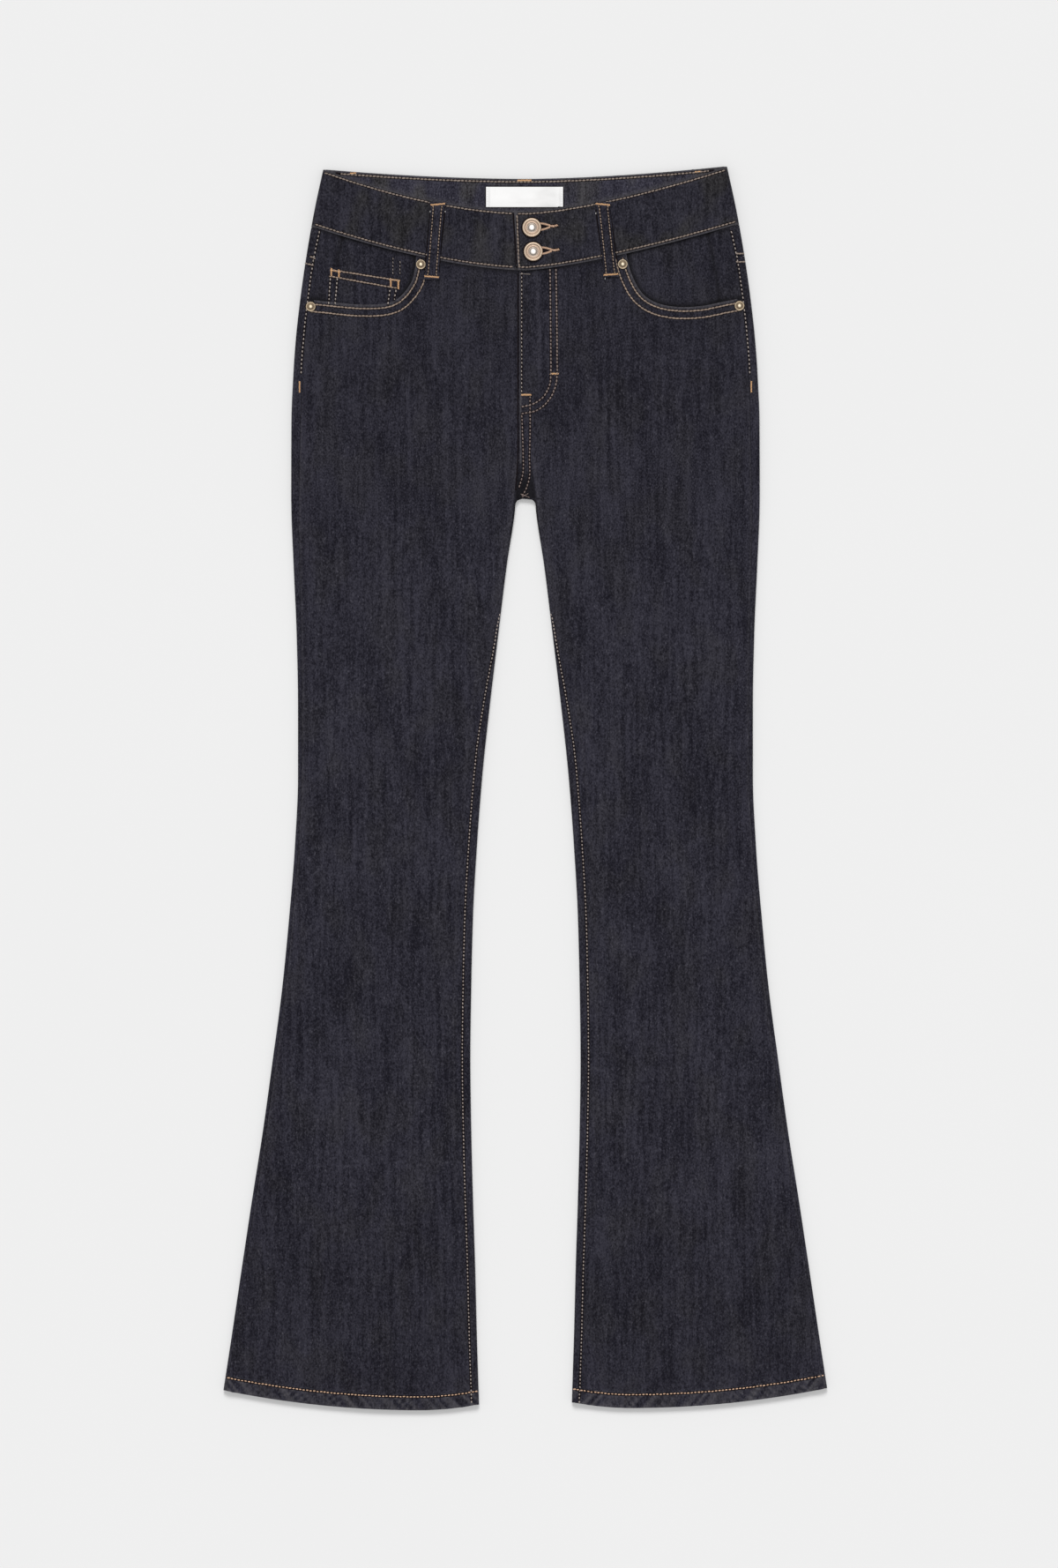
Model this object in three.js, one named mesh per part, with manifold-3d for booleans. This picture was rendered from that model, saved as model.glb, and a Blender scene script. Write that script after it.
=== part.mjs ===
// Flared five-pocket jeans in dark denim, laid flat with the front up, in millimetres.
// +X is to the wearer's left, +Y runs from the hems towards the waist, and +Z is up from the surface.
// "down" is a distance from the top of the waist towards the hems, and "across" one from the middle
// of the garment out to a side. Each sewn piece is a cloth wall of its own, a seam's gap from the next.
import * as THREE from "three";
import { mergeVertices } from "three/addons/utils/BufferGeometryUtils.js";
import Module from "manifold-3d";

const wasm = await Module();
wasm.setup();

// Driving sizes
const LENGTH = 1114;
const DENIM = 1.2;
const THIN_DENIM = 1.0;
const BAND = 2.2;
const LOOP_CLOTH = 1.8;
const SEAM_GAP = 0.3;
const FOLD_HEIGHT = 4.4;
const BAND_FOLD_HEIGHT = 5.4;
const HEM_DEPTH = 12.3;
const HEM_CLOTH = 2.2;
const HEM_FOLD_HEIGHT = 5.4;
const BUTTON_RADIUS = 8.5;
const RIVET_RADIUS = 4.35;
const CROTCH_DOWN = 297;
const LEGS_PARTED_DOWN = 302;
const FLY_END_DOWN = 213;

const LEFT = 1;
const RIGHT = -1;

// Half widths of the laid garment: "outer" at the side fold, "inner" at the inside of the leg
const OUTLINE = [
  { down: 0, outer: 180.6, inner: 0 },
  { down: 40, outer: 189.2, inner: 0 },
  { down: 88, outer: 197.5, inner: 0 },
  { down: 119, outer: 201.8, inner: 0 },
  { down: 151, outer: 205.4, inner: 0 },
  { down: 183, outer: 207.8, inner: 0 },
  { down: 230, outer: 209.7, inner: 0 },
  { down: CROTCH_DOWN, outer: 209.9, inner: 0.15 },
  { down: 298.5, outer: 209.9, inner: 6.5 },
  { down: LEGS_PARTED_DOWN, outer: 209.8, inner: 8.9 },
  { down: 309, outer: 209.7, inner: 9.5 },
  { down: 356, outer: 207.8, inner: 16.6 },
  { down: 420, outer: 205, inner: 24.5 },
  { down: 483, outer: 203.8, inner: 32 },
  { down: 546, outer: 203.8, inner: 38.7 },
  { down: 609, outer: 206.6, inner: 43.5 },
  { down: 672, outer: 211.7, inner: 47 },
  { down: 736, outer: 218, inner: 48.6 },
  { down: 799, outer: 226.3, inner: 49.4 },
  { down: 862, outer: 235, inner: 48.6 },
  { down: 925, outer: 244.9, inner: 47 },
  { down: 988, outer: 254.4, inner: 45 },
  { down: 1052, outer: 263.9, inner: 43.5 },
  { down: LENGTH, outer: 273.4, inner: 41.6 },
];

// How far the back panel wraps round the side fold onto the front
const SIDE_SEAM = [
  { down: 52, wrap: 9.5 },
  { down: 90, wrap: 8 },
  { down: 220, wrap: 8 },
  { down: 285, wrap: 7 },
  { down: 404, wrap: 4.2 },
  { down: 506, wrap: 3.2 },
  { down: 700, wrap: 2.8 },
  { down: LENGTH, wrap: 2.8 },
];

// Height of the back layer over the surface, where belt loops and pockets lie under it
const LIFT = [
  { down: 84, lift: LOOP_CLOTH + SEAM_GAP },
  { down: 106, lift: DENIM + SEAM_GAP },
  { down: 272, lift: DENIM + SEAM_GAP },
  { down: 336, lift: 0 },
];

// Room that the hidden pocket bags and the facings take between front and back
const FILLING = [
  { down: 150, room: THIN_DENIM + SEAM_GAP },
  { down: 262, room: 0 },
];

// Edges of the waistband: "centre" and "side" are how far down they lie, and "power" is their bend
const BAND_EDGES = {
  frontTop: {
    [LEFT]: { centre: 40, side: 0.8, reach: 178.5, power: 1.45 },
    [RIGHT]: { centre: 40, side: 2.7, reach: 181, power: 1.72 },
  },
  frontBottom: {
    [LEFT]: { centre: 93, side: 52, reach: 188.5, power: 1.35 },
    [RIGHT]: { centre: 93, side: 54.5, reach: 188.5, power: 1.62 },
  },
  backTop: {
    [LEFT]: { centre: 11.2, side: 0, reach: 178.5, power: 1.68 },
    [RIGHT]: { centre: 11.2, side: 2.7, reach: 181, power: 1.8 },
  },
  backBottom: {
    [LEFT]: { centre: 64, side: 52, reach: 188.5, power: 1.7 },
    [RIGHT]: { centre: 64, side: 54.5, reach: 188.5, power: 1.7 },
  },
  yokeSeam: {
    [LEFT]: { centre: 128, side: 79, reach: 200, power: 1.1 },
    [RIGHT]: { centre: 128, side: 79, reach: 200, power: 1.1 },
  },
};

// The hems swing out: lowest where the leg's crest is, higher towards both folds
const HEM = { crest: 95, outerBend: 0.00058, innerBend: 0.0019 };
const HEM_LOWEST = { [LEFT]: LENGTH - 2, [RIGHT]: LENGTH };

// Rows of the panels follow the panel's top edge down to one depth, and the hem from another
const TOP_FOLLOWED_TO = CROTCH_DOWN - 30;
const HEM_FOLLOWED = { from: 988, to: 1087 };
const LEG_REACH = { inner: 41, outer: 275 };
const PANEL_MIDDLE = 120;

// Rows of the panels, each at its depth on the centre line
const LEG_ROWS = [
  CROTCH_DOWN, 298.5, LEGS_PARTED_DOWN, 309, 336, 370, 420, 483, 546, 609, 672, 736, 799, 862, 925,
  HEM_FOLLOWED.from, 1052, HEM_FOLLOWED.to,
];
const FRONT_ROWS = [93, 112, 131, 150, 170, 190, 205, FLY_END_DOWN, 224, 238, 262, ...LEG_ROWS];
const BACK_ROWS = [128, 144, 160, 180, 200, 219, 238, 272, ...LEG_ROWS];
const HIP_ROWS = [93, 102, 112, 121, 131, 140, 150, 160, 170];

// Columns of the front: degrees round the inner fold, then shares of the fall from that fold to the
// level cloth, of the level cloth, and of its rise to the side seam
const INNER_FOLD_TURNS = [0, 30, 60, 90];
const INNER_FALL = { width: 12, shares: [0.5, 1] };
const LEVEL_SHARES = [0.12, 0.2, 0.35, 0.5, 0.65, 0.8, 1];
const OUTER_RISE = { width: 14, shares: [0.35, 0.7, 1] };

// Columns of the back: degrees round the inner fold and the side fold, and shares of the cloth between
const BACK_FOLD_TURNS = [-90, -60, -30];
const BACK_SHARES = [0, 0.25, 0.5, 0.75, 1];
const SIDE_FOLD_TURNS = [30, 60, 90, 120, 150, 180];
const WRAP_SHARES = [0.5, 1];
const YOKE_SHARES = [0, 0.25, 0.5, 0.75, 1];

// Columns of the waistband: shares of its half width, and degrees round the side folds
const BAND_CENTRE_DOWN = 40;
const BAND_SHARES = [0, 0.35, 0.7, 1];
const LAP_SHARES = [0.07, 0.15, 0.19, 0.23];
const BAND_FOLD_TURNS = [150, 120, 90, 60, 30];
const FOLD_RISE_SHARE = 0.9;

// Stitched edges of the two scooped front pockets, from the waistband out to the side seam
const POCKET_MOUTH = {
  [RIGHT]: [
    { across: 98, down: 82 },
    { across: 99, down: 92 },
    { across: 102.9, down: 104.8 },
    { across: 113.4, down: 117.5 },
    { across: 125.5, down: 122.6 },
    { across: 141.6, down: 123.7 },
    { across: 157.7, down: 123 },
    { across: 173.8, down: 121.3 },
    { across: 190, down: 119.6 },
  ],
  [LEFT]: [
    { across: 90.7, down: 80 },
    { across: 95, down: 96 },
    { across: 101.8, down: 109.7 },
    { across: 110.4, down: 118.3 },
    { across: 123.2, down: 123.8 },
    { across: 140.4, down: 125.9 },
    { across: 159.3, down: 124.7 },
    { across: 176.4, down: 121.2 },
    { across: 190, down: 118.4 },
  ],
};
// The opening is grown or shrunk about its middle, and reaches past the panel's outer corner
const MOUTH_MIDDLE = { across: 150, down: 85 };
const MOUTH_STEPS = 20;
const PAST_CORNER = { across: 240, down: 20 };
const TRIM_HEIGHTS = { bottom: -5, top: 20 };
const COIN_POCKET = [
  { across: 173.8, down: 89 },
  { across: 113.4, down: 100.7 },
  { across: 117, down: 130 },
  { across: 176.8, down: 130 },
];
const BACK_POCKET = [
  { across: 32, down: 128 },
  { across: 172, down: 120 },
  { across: 165, down: 238 },
  { across: 105, down: 268 },
  { across: 42, down: 243 },
];

// Centre lines of the belt loops, and the fly's and the waistband's overlap
const FRONT_LOOPS = {
  [RIGHT]: { top: 78.4, bottom: 84, topDown: 31.6, bottomDown: 101 },
  [LEFT]: { top: 69.3, bottom: 76.6, topDown: 31.6, bottomDown: 99 },
};
const BACK_LOOP_LENGTH = 69;
const SIDE_BACK_LOOP_ACROSS = 155;
const LOOP_WIDTHS = { ends: 15, waist: 11.8 };
const LOOP_FLARES = { topShare: 0.1, bottomShare: 0.88 };
const LOOP_STEPS = { tack: 4, flare: 12, foot: 5 };
const FLY_EDGE = 5;
const FLY_UNDERLAP = 8;
const FLY_STEP = 8;
const FLY_LEAN = { width: 3, from: 262 };
const OVERLAP_END = 7;
const BAND_UNDERLAP = 22;
const OVERLAP_RISE = { from: 44, to: 28 };
const FLY_RISE = { fromDown: 226, toDown: 216 };
const LABEL = { left: -35.3, right: 33.7, top: 18.1, bottom: 36.3 };
const RIVETS = [
  { name: "rivet_right_inner", side: RIGHT, across: 93.7, down: 87.6, onSeam: false },
  { name: "rivet_right_outer", side: RIGHT, across: 192.4, down: 125.4, onSeam: true },
  { name: "rivet_left_inner", side: LEFT, across: 87.2, down: 87.4, onSeam: false },
  { name: "rivet_left_outer", side: LEFT, across: 191.8, down: 124.7, onSeam: true },
];
const BUTTONS = [
  { name: "button_upper", across: 5.7, down: 54.7 },
  { name: "button_lower", across: 7, down: 76.2 },
];

// Smooth curve through one column of a table that never swings past its rows
function curve(rows, column) {
  const at = rows.map((row) => row.down);
  const value = rows.map((row) => row[column]);
  const slope = value.slice(1).map((v, i) => (v - value[i]) / (at[i + 1] - at[i]));
  const tangent = value.map((_, i) => {
    const before = slope[i - 1] ?? slope[i];
    const after = slope[i] ?? slope[i - 1];
    return before * after <= 0 ? 0 : (2 * before * after) / (before + after);
  });
  return (down) => {
    if (down <= at[0]) return value[0];
    if (down >= at[at.length - 1]) return value[value.length - 1];
    const i = at.findIndex((a) => a > down) - 1;
    const span = at[i + 1] - at[i];
    const t = (down - at[i]) / span;
    return (
      value[i] * (1 + 2 * t) * (1 - t) ** 2 +
      tangent[i] * span * t * (1 - t) ** 2 +
      value[i + 1] * t * t * (3 - 2 * t) +
      tangent[i + 1] * span * t * t * (t - 1)
    );
  };
}

const outerAt = curve(OUTLINE, "outer");
const innerAt = curve(OUTLINE, "inner");
const wrapAt = curve(SIDE_SEAM, "wrap");
const liftAt = curve(LIFT, "lift");
const roomAt = curve(FILLING, "room");
const mix = THREE.MathUtils.lerp;
const ease = (value, from, to) => {
  const t = THREE.MathUtils.clamp((value - from) / (to - from), 0, 1);
  return t * t * (3 - 2 * t);
};

function edgeAt(edge, side, across) {
  const { centre, side: atSide, reach, power } = BAND_EDGES[edge][across < 0 ? -side : side];
  return centre - (centre - atSide) * Math.min(Math.abs(across) / reach, 1) ** power;
}

function hemAt(side, across) {
  const off = across - HEM.crest;
  return HEM_LOWEST[side] - (off > 0 ? HEM.outerBend : HEM.innerBend) * off * off;
}

const place = (side, across, down, z) => new THREE.Vector3(side * across, LENGTH / 2 - down, z);

// Closed cloth wall over a grid of points, each with its outside and its inside face
function wall(grid) {
  const last = grid.length - 1;
  const end = grid[0].length - 1;
  const points = [];
  for (const row of grid) for (const point of row) points.push(point.out, point.in);
  const id = (i, j, face) => 2 * (i * (end + 1) + j) + face;
  const faces = [];
  const quad = (a, b, c, d) => faces.push(a, b, c, a, c, d);
  for (let i = 0; i < last; i++) {
    for (let j = 0; j < end; j++) {
      quad(id(i, j, 0), id(i, j + 1, 0), id(i + 1, j + 1, 0), id(i + 1, j, 0));
      quad(id(i, j, 1), id(i + 1, j, 1), id(i + 1, j + 1, 1), id(i, j + 1, 1));
    }
    quad(id(i, 0, 0), id(i + 1, 0, 0), id(i + 1, 0, 1), id(i, 0, 1));
    quad(id(i, end, 0), id(i, end, 1), id(i + 1, end, 1), id(i + 1, end, 0));
  }
  for (let j = 0; j < end; j++) {
    quad(id(0, j, 0), id(0, j, 1), id(0, j + 1, 1), id(0, j + 1, 0));
    quad(id(last, j, 0), id(last, j + 1, 0), id(last, j + 1, 1), id(last, j, 1));
  }
  const geometry = new THREE.BufferGeometry().setFromPoints(points);
  geometry.setIndex(signedVolume(points, faces) < 0 ? faces.reverse() : faces);
  return geometry;
}

function signedVolume(points, faces) {
  let sum = 0;
  for (let i = 0; i < faces.length; i += 3) {
    const [a, b, c] = [points[faces[i]], points[faces[i + 1]], points[faces[i + 2]]];
    sum += a.dot(b.clone().cross(c));
  }
  return sum;
}

function toSolid(geometry) {
  const bare = geometry.clone().deleteAttribute("normal").deleteAttribute("uv");
  const merged = mergeVertices(bare, 1e-4);
  return new wasm.Manifold(
    new wasm.Mesh({
      numProp: 3,
      vertProperties: new Float32Array(merged.attributes.position.array),
      triVerts: new Uint32Array(merged.index.array),
    }),
  );
}

function toGeometry(solid) {
  const { vertProperties, triVerts } = solid.getMesh();
  return new THREE.BufferGeometry()
    .setAttribute("position", new THREE.BufferAttribute(vertProperties, 3))
    .setIndex(new THREE.BufferAttribute(triVerts, 1));
}

// Upright block over an outline of { across, down } points
function block(side, outline, bottom, top) {
  const shape = new THREE.Shape(
    outline.map(({ across, down }) => new THREE.Vector2(side * across, LENGTH / 2 - down)),
  );
  const geometry = new THREE.ExtrudeGeometry(shape, { depth: top - bottom, bevelEnabled: false });
  return geometry.translate(0, 0, bottom);
}

// Depth of a point of a panel: rows follow the panel's top edge at first and the hem at last
function panelDown(side, row, across, topEdge, rows) {
  const topRow = rows[0];
  const topBlend = 1 - ease(row, topRow, TOP_FOLLOWED_TO);
  const hemBlend = ease(row, HEM_FOLLOWED.from, HEM_FOLLOWED.to);
  const top = edgeAt(topEdge, side, across) + SEAM_GAP - topRow;
  const hemAcross = THREE.MathUtils.clamp(across, LEG_REACH.inner, LEG_REACH.outer);
  const hem = hemAt(side, hemAcross) - LENGTH;
  return row + top * topBlend + hem * hemBlend;
}

// The front's hem steps up just above the back's, so that it clears it
const HEM_TOP = LENGTH - HEM_DEPTH;
const HEM_SLOPE = 1.2;
const BACK_HEM_STEP = 2;
const FRONT_HEM_ROWS = [HEM_TOP - HEM_SLOPE, HEM_TOP, LENGTH];
const BACK_HEM_ROWS = [
  HEM_TOP - HEM_SLOPE, HEM_TOP + BACK_HEM_STEP, HEM_TOP + BACK_HEM_STEP + HEM_SLOPE, LENGTH,
];

// Inside edge of a front panel: the fly laps over the middle, and the leg's inner fold is below it
function frontEdge(side, down) {
  if (down > CROTCH_DOWN) return innerAt(down);
  const lean = FLY_LEAN.width * ease(down, FLY_LEAN.from, CROTCH_DOWN);
  if (side === LEFT) return -FLY_EDGE - lean;
  return down <= FLY_END_DOWN - FLY_STEP ? -FLY_UNDERLAP : FLY_EDGE + SEAM_GAP + lean;
}

// One row of a front layer, from the inside edge out to the side seam.
// "under" is the room below it, over the back panel, and "cloth" its thickness.
function frontRow(side, row, { rows, under, cloth, fly }) {
  const rough = panelDown(side, row, PANEL_MIDDLE, "frontBottom", rows);
  const edge = frontEdge(side, row <= CROTCH_DOWN ? row : rough);
  const leg = ease(row, CROTCH_DOWN, LEGS_PARTED_DOWN);
  const hem = row >= HEM_TOP;
  const radius = (hem ? HEM_FOLD_HEIGHT : FOLD_HEIGHT) / 2;
  const thick = hem ? HEM_CLOTH : cloth;
  const backThick = hem ? HEM_CLOTH : DENIM;
  const seamOf = (down) => outerAt(down) - wrapAt(down) - SEAM_GAP;
  const points = [];
  const add = (acrossOf, heightOf) => {
    let down = panelDown(side, row, acrossOf(rough), "frontBottom", rows);
    down = panelDown(side, row, acrossOf(down), "frontBottom", rows);
    points.push(heightOf(acrossOf(down), down));
  };
  const level = (down, across) => {
    const below = backThick + SEAM_GAP + under(down);
    const rise = fly ? fly(across, down) : 0;
    return liftAt(down) + below + rise;
  };
  const flat = (across, down, lifted) => {
    const atFold = liftAt(down) + 2 * radius - thick;
    const foot = mix(level(down, across), atFold, lifted);
    return {
      out: place(side, across, down, foot + thick),
      in: place(side, across, down, foot),
    };
  };
  for (const turn of INNER_FOLD_TURNS) {
    const angle = THREE.MathUtils.degToRad(turn);
    add(
      () => edge + radius,
      (centre, down) => {
        const middle = liftAt(down) + radius + SEAM_GAP / 2;
        const plain = flat(edge + (turn / 90) * radius, down, 0);
        const at = (r) =>
          place(side, centre - r * Math.cos(angle), down, middle + r * Math.sin(angle));
        return { out: plain.out.lerp(at(radius), leg), in: plain.in.lerp(at(radius - thick), leg) };
      },
    );
  }
  const fallEnd = edge + radius + INNER_FALL.width;
  for (const part of INNER_FALL.shares) {
    add(
      () => mix(edge + radius, fallEnd, part),
      (across, down) => flat(across, down, leg * (1 - ease(part, 0, 1))),
    );
  }
  for (const part of LEVEL_SHARES) {
    add(
      (down) => mix(fallEnd, seamOf(down) - OUTER_RISE.width, part),
      (across, down) => flat(across, down, 0),
    );
  }
  for (const part of OUTER_RISE.shares) {
    add(
      (down) => seamOf(down) - OUTER_RISE.width * (1 - part),
      (across, down) => flat(across, down, ease(part, 0, 1)),
    );
  }
  return points;
}

// One row of a back layer, from its inside edge under the front, round the side fold, to the seam
function backRow(side, row, depth, wrapDepth = depth) {
  const leg = ease(row, CROTCH_DOWN, LEGS_PARTED_DOWN);
  const hem = row > HEM_TOP + BACK_HEM_STEP;
  const radius = (hem ? HEM_FOLD_HEIGHT : FOLD_HEIGHT) / 2;
  const thick = hem ? HEM_CLOTH : DENIM;
  const inside = radius - thick;
  const edge = row <= CROTCH_DOWN ? SEAM_GAP / 2 : innerAt(row);
  const points = [];
  const arc = (across, down, angle) => {
    const middle = liftAt(down) + radius;
    const at = (r) =>
      place(side, across + r * Math.sin(angle), down, middle - r * Math.cos(angle));
    return { out: at(radius), in: at(inside) };
  };
  const flat = (across, down) => ({
    out: place(side, across, down, liftAt(down)),
    in: place(side, across, down, liftAt(down) + thick),
  });
  for (const turn of BACK_FOLD_TURNS) {
    const down = depth(edge);
    const plain = flat(edge + ((90 + turn) / 90) * radius, down);
    const curved = arc(edge + radius, down, THREE.MathUtils.degToRad(turn));
    const sink = (SEAM_GAP / 2) * (turn === -90 ? 1 : 0);
    curved.out.z -= sink;
    curved.in.z -= sink;
    points.push({ out: plain.out.lerp(curved.out, leg), in: plain.in.lerp(curved.in, leg) });
  }
  const foldOf = (across) => outerAt(depth(across)) - radius;
  for (const part of BACK_SHARES) {
    const across = mix(edge + radius, foldOf(outerAt(row)), part);
    points.push(flat(across, depth(across)));
  }
  const sideDown = depth(outerAt(row));
  for (const turn of SIDE_FOLD_TURNS) {
    points.push(arc(outerAt(sideDown) - radius, sideDown, THREE.MathUtils.degToRad(turn)));
  }
  for (const part of WRAP_SHARES) {
    const acrossAt = (down) => outerAt(down) - mix(radius, wrapAt(down), part);
    const down = wrapDepth === depth ? sideDown : wrapDepth(acrossAt(sideDown));
    const across = acrossAt(down);
    const top = liftAt(down) + 2 * radius;
    points.push({
      out: place(side, across, down, top),
      in: place(side, across, down, top - thick),
    });
  }
  return points;
}

function backPanel(side) {
  const rows = [...BACK_ROWS, ...BACK_HEM_ROWS];
  const depthOf = (row) => (across) => panelDown(side, row, across, "yokeSeam", rows);
  return wall(rows.map((row) => backRow(side, row, depthOf(row))));
}

// The yoke lies between the waistband and the back panel, and wraps onto the front as that does
function yoke(side) {
  const below = (bandEdge, across) => edgeAt(bandEdge, side, across) + SEAM_GAP;
  const seam = (across) => edgeAt("yokeSeam", side, across) - SEAM_GAP / 4;
  const sideSeam = seam(outerAt(BACK_ROWS[0]));
  const rows = YOKE_SHARES.map((part) =>
    backRow(
      side,
      BACK_ROWS[0],
      (across) => mix(below("backBottom", across), seam(across), part),
      (across) => mix(below("frontBottom", across) + SEAM_GAP, sideSeam, part),
    ),
  );
  return wall(rows);
}

const flyRise = (across, down) =>
  (DENIM + SEAM_GAP) *
  (1 - ease(across, OVERLAP_RISE.to, OVERLAP_RISE.from)) *
  (1 - ease(down, FLY_RISE.toDown, FLY_RISE.fromDown));

// The scooped pocket opening, grown or shrunk by "grow", reaching up and out past the panel
function scoop(side, grow) {
  const spline = new THREE.SplineCurve(
    POCKET_MOUTH[side].map(({ across, down }) => new THREE.Vector2(across, down)),
  );
  const middle = new THREE.Vector2(MOUTH_MIDDLE.across, MOUTH_MIDDLE.down);
  const mouth = spline.getPoints(MOUTH_STEPS).map((p) => {
    const away = p.clone().sub(middle).normalize();
    return { across: p.x + away.x * grow, down: p.y + away.y * grow };
  });
  const outline = [
    ...mouth,
    { across: PAST_CORNER.across, down: mouth[mouth.length - 1].down },
    PAST_CORNER,
    { across: mouth[0].across, down: PAST_CORNER.down },
  ];
  return toSolid(block(side, outline, TRIM_HEIGHTS.bottom, TRIM_HEIGHTS.top));
}

function frontPanel(side) {
  const rows = [...FRONT_ROWS, ...FRONT_HEM_ROWS];
  const layer = { rows, under: roomAt, cloth: DENIM, fly: side === LEFT ? flyRise : null };
  const panel = toSolid(wall(rows.map((row) => frontRow(side, row, layer))));
  return toGeometry(panel.subtract(scoop(side, 0)));
}

function pocketFacing(side) {
  const layer = { rows: FRONT_ROWS, under: () => 0, cloth: THIN_DENIM };
  const cloth = toSolid(wall(HIP_ROWS.map((row) => frontRow(side, row, layer))));
  return toGeometry(cloth.intersect(scoop(side, -SEAM_GAP)));
}

// The small pocket lies on the wearer's right facing
function coinPocket() {
  const layer = { rows: FRONT_ROWS, under: () => THIN_DENIM + SEAM_GAP, cloth: THIN_DENIM };
  const cloth = toSolid(wall(HIP_ROWS.map((row) => frontRow(RIGHT, row, layer))));
  const patch = toSolid(block(RIGHT, COIN_POCKET, TRIM_HEIGHTS.bottom, TRIM_HEIGHTS.top));
  return toGeometry(cloth.intersect(patch).intersect(scoop(RIGHT, -SEAM_GAP)));
}

const backPocket = (side) => block(side, BACK_POCKET, 0, DENIM);

// One row of points across the waistband, from its top edge to its bottom edge.
// "across" is a share of the half width, and "turn" the angle round a side fold.
function bandColumn(side, share, front, turn, rise) {
  const [topEdge, bottomEdge] = front ? ["frontTop", "frontBottom"] : ["backTop", "backBottom"];
  const radius = BAND_FOLD_HEIGHT / 2;
  return BAND_SHARES.map((part) => {
    let down = BAND_CENTRE_DOWN;
    let across = 0;
    for (let pass = 0; pass < 3; pass++) {
      across = share * (outerAt(down) - radius);
      down = mix(edgeAt(topEdge, side, across), edgeAt(bottomEdge, side, across), part);
    }
    const lift = LOOP_CLOTH + SEAM_GAP;
    if (turn !== null) {
      const middle = lift + radius;
      const at = (r) =>
        place(side, across + r * Math.sin(turn), down, middle - r * Math.cos(turn));
      return { out: at(radius), in: at(radius - BAND) };
    }
    if (!front) {
      return { out: place(side, across, down, lift), in: place(side, across, down, lift + BAND) };
    }
    const lapped = lift + BAND + SEAM_GAP;
    const atFold = lift + BAND_FOLD_HEIGHT - BAND;
    const foot = mix(lapped, atFold, ease(share, FOLD_RISE_SHARE, 1)) + rise;
    return {
      out: place(side, across, down, foot + BAND),
      in: place(side, across, down, foot),
    };
  });
}

// The waistband is one strip: from its lapped end round the wearer's left, the back and the right
function waistband() {
  const half = outerAt(BAND_CENTRE_DOWN);
  const shares = (from, to, count) =>
    Array.from({ length: count }, (_, i) => mix(from, to, i / (count - 1)));
  const lapRise = (share) =>
    (BAND + SEAM_GAP) * (1 - ease(share * half, OVERLAP_RISE.to, OVERLAP_RISE.from));
  const folds = BAND_FOLD_TURNS.map(THREE.MathUtils.degToRad);
  const columns = [];
  for (const share of [-OVERLAP_END / half, ...LAP_SHARES, ...shares(0.35, 1, 8)]) {
    columns.push(bandColumn(LEFT, share, true, null, lapRise(share)));
  }
  for (const turn of folds) columns.push(bandColumn(LEFT, 1, false, turn, 0));
  for (const share of shares(1, 0, 9)) columns.push(bandColumn(LEFT, share, false, null, 0));
  for (const share of shares(0.125, 1, 8)) columns.push(bandColumn(RIGHT, share, false, null, 0));
  for (const turn of [...folds].reverse()) columns.push(bandColumn(RIGHT, 1, false, turn, 0));
  for (const share of [...shares(1, 0.1, 10), 0, -BAND_UNDERLAP / half]) {
    columns.push(bandColumn(RIGHT, share, true, null, 0));
  }
  return wall(columns);
}

// Height of the front's upper face near the waist, where loops and rivets sit
const bandTop = LOOP_CLOTH + SEAM_GAP + BAND + SEAM_GAP + BAND;
const panelTop = (down) => liftAt(down) + DENIM + SEAM_GAP + roomAt(down) + DENIM;

function frontLoop(side) {
  const { top, bottom, topDown, bottomDown } = FRONT_LOOPS[side];
  const bandBottom = edgeAt("frontBottom", side, (top + bottom) / 2);
  const footDown = bottomDown - LOOP_STEPS.foot;
  const downs = [
    topDown, topDown + LOOP_STEPS.tack, topDown + LOOP_STEPS.flare,
    bandBottom - LOOP_STEPS.flare, bandBottom, footDown, bottomDown,
  ];
  const rows = downs.map((down) => {
    const along = (down - topDown) / (bottomDown - topDown);
    const centre = mix(top, bottom, along);
    const flare = Math.max(
      ease(along, LOOP_FLARES.topShare, 0),
      ease(along, LOOP_FLARES.bottomShare, 1),
    );
    const halfWidth = mix(LOOP_WIDTHS.waist, LOOP_WIDTHS.ends, flare) / 2;
    const onPanel = ease(down, bandBottom, footDown);
    const foot = mix(bandTop, panelTop(down), onPanel) + SEAM_GAP;
    return [-1, 1].map((way) => ({
      out: place(side, centre + way * halfWidth, down, foot + LOOP_CLOTH),
      in: place(side, centre + way * halfWidth, down, foot),
    }));
  });
  return wall(rows);
}

// A loop on the back of the waistband, between it and the surface
function backLoop(side, across) {
  const start = edgeAt("backTop", side, across);
  const halfWidth = LOOP_WIDTHS.waist / 2;
  const outline = [
    { across: across - halfWidth, down: start },
    { across: across + halfWidth, down: start },
    { across: across + halfWidth, down: start + BACK_LOOP_LENGTH },
    { across: across - halfWidth, down: start + BACK_LOOP_LENGTH },
  ];
  return block(side, outline, 0, LOOP_CLOTH);
}

function turned(profile, segments) {
  const points = profile.map(([radius, height]) => new THREE.Vector2(radius, height));
  return new THREE.LatheGeometry(points, segments).rotateX(Math.PI / 2);
}

// Shank button: a short foot under a rolled rim, a sunk ring and a raised middle
const buttonShape = () =>
  turned(
    [
      [0, 0],
      [3.2, 0],
      [3.2, 0.7],
      [BUTTON_RADIUS - 0.9, 0.7],
      [BUTTON_RADIUS, 1.5],
      [BUTTON_RADIUS - 0.3, 2.5],
      [BUTTON_RADIUS - 1.4, 2.9],
      [BUTTON_RADIUS - 2.6, 2.4],
      [3.4, 2.3],
      [2.9, 3],
      [0, 3.3],
    ],
    20,
  );

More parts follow.
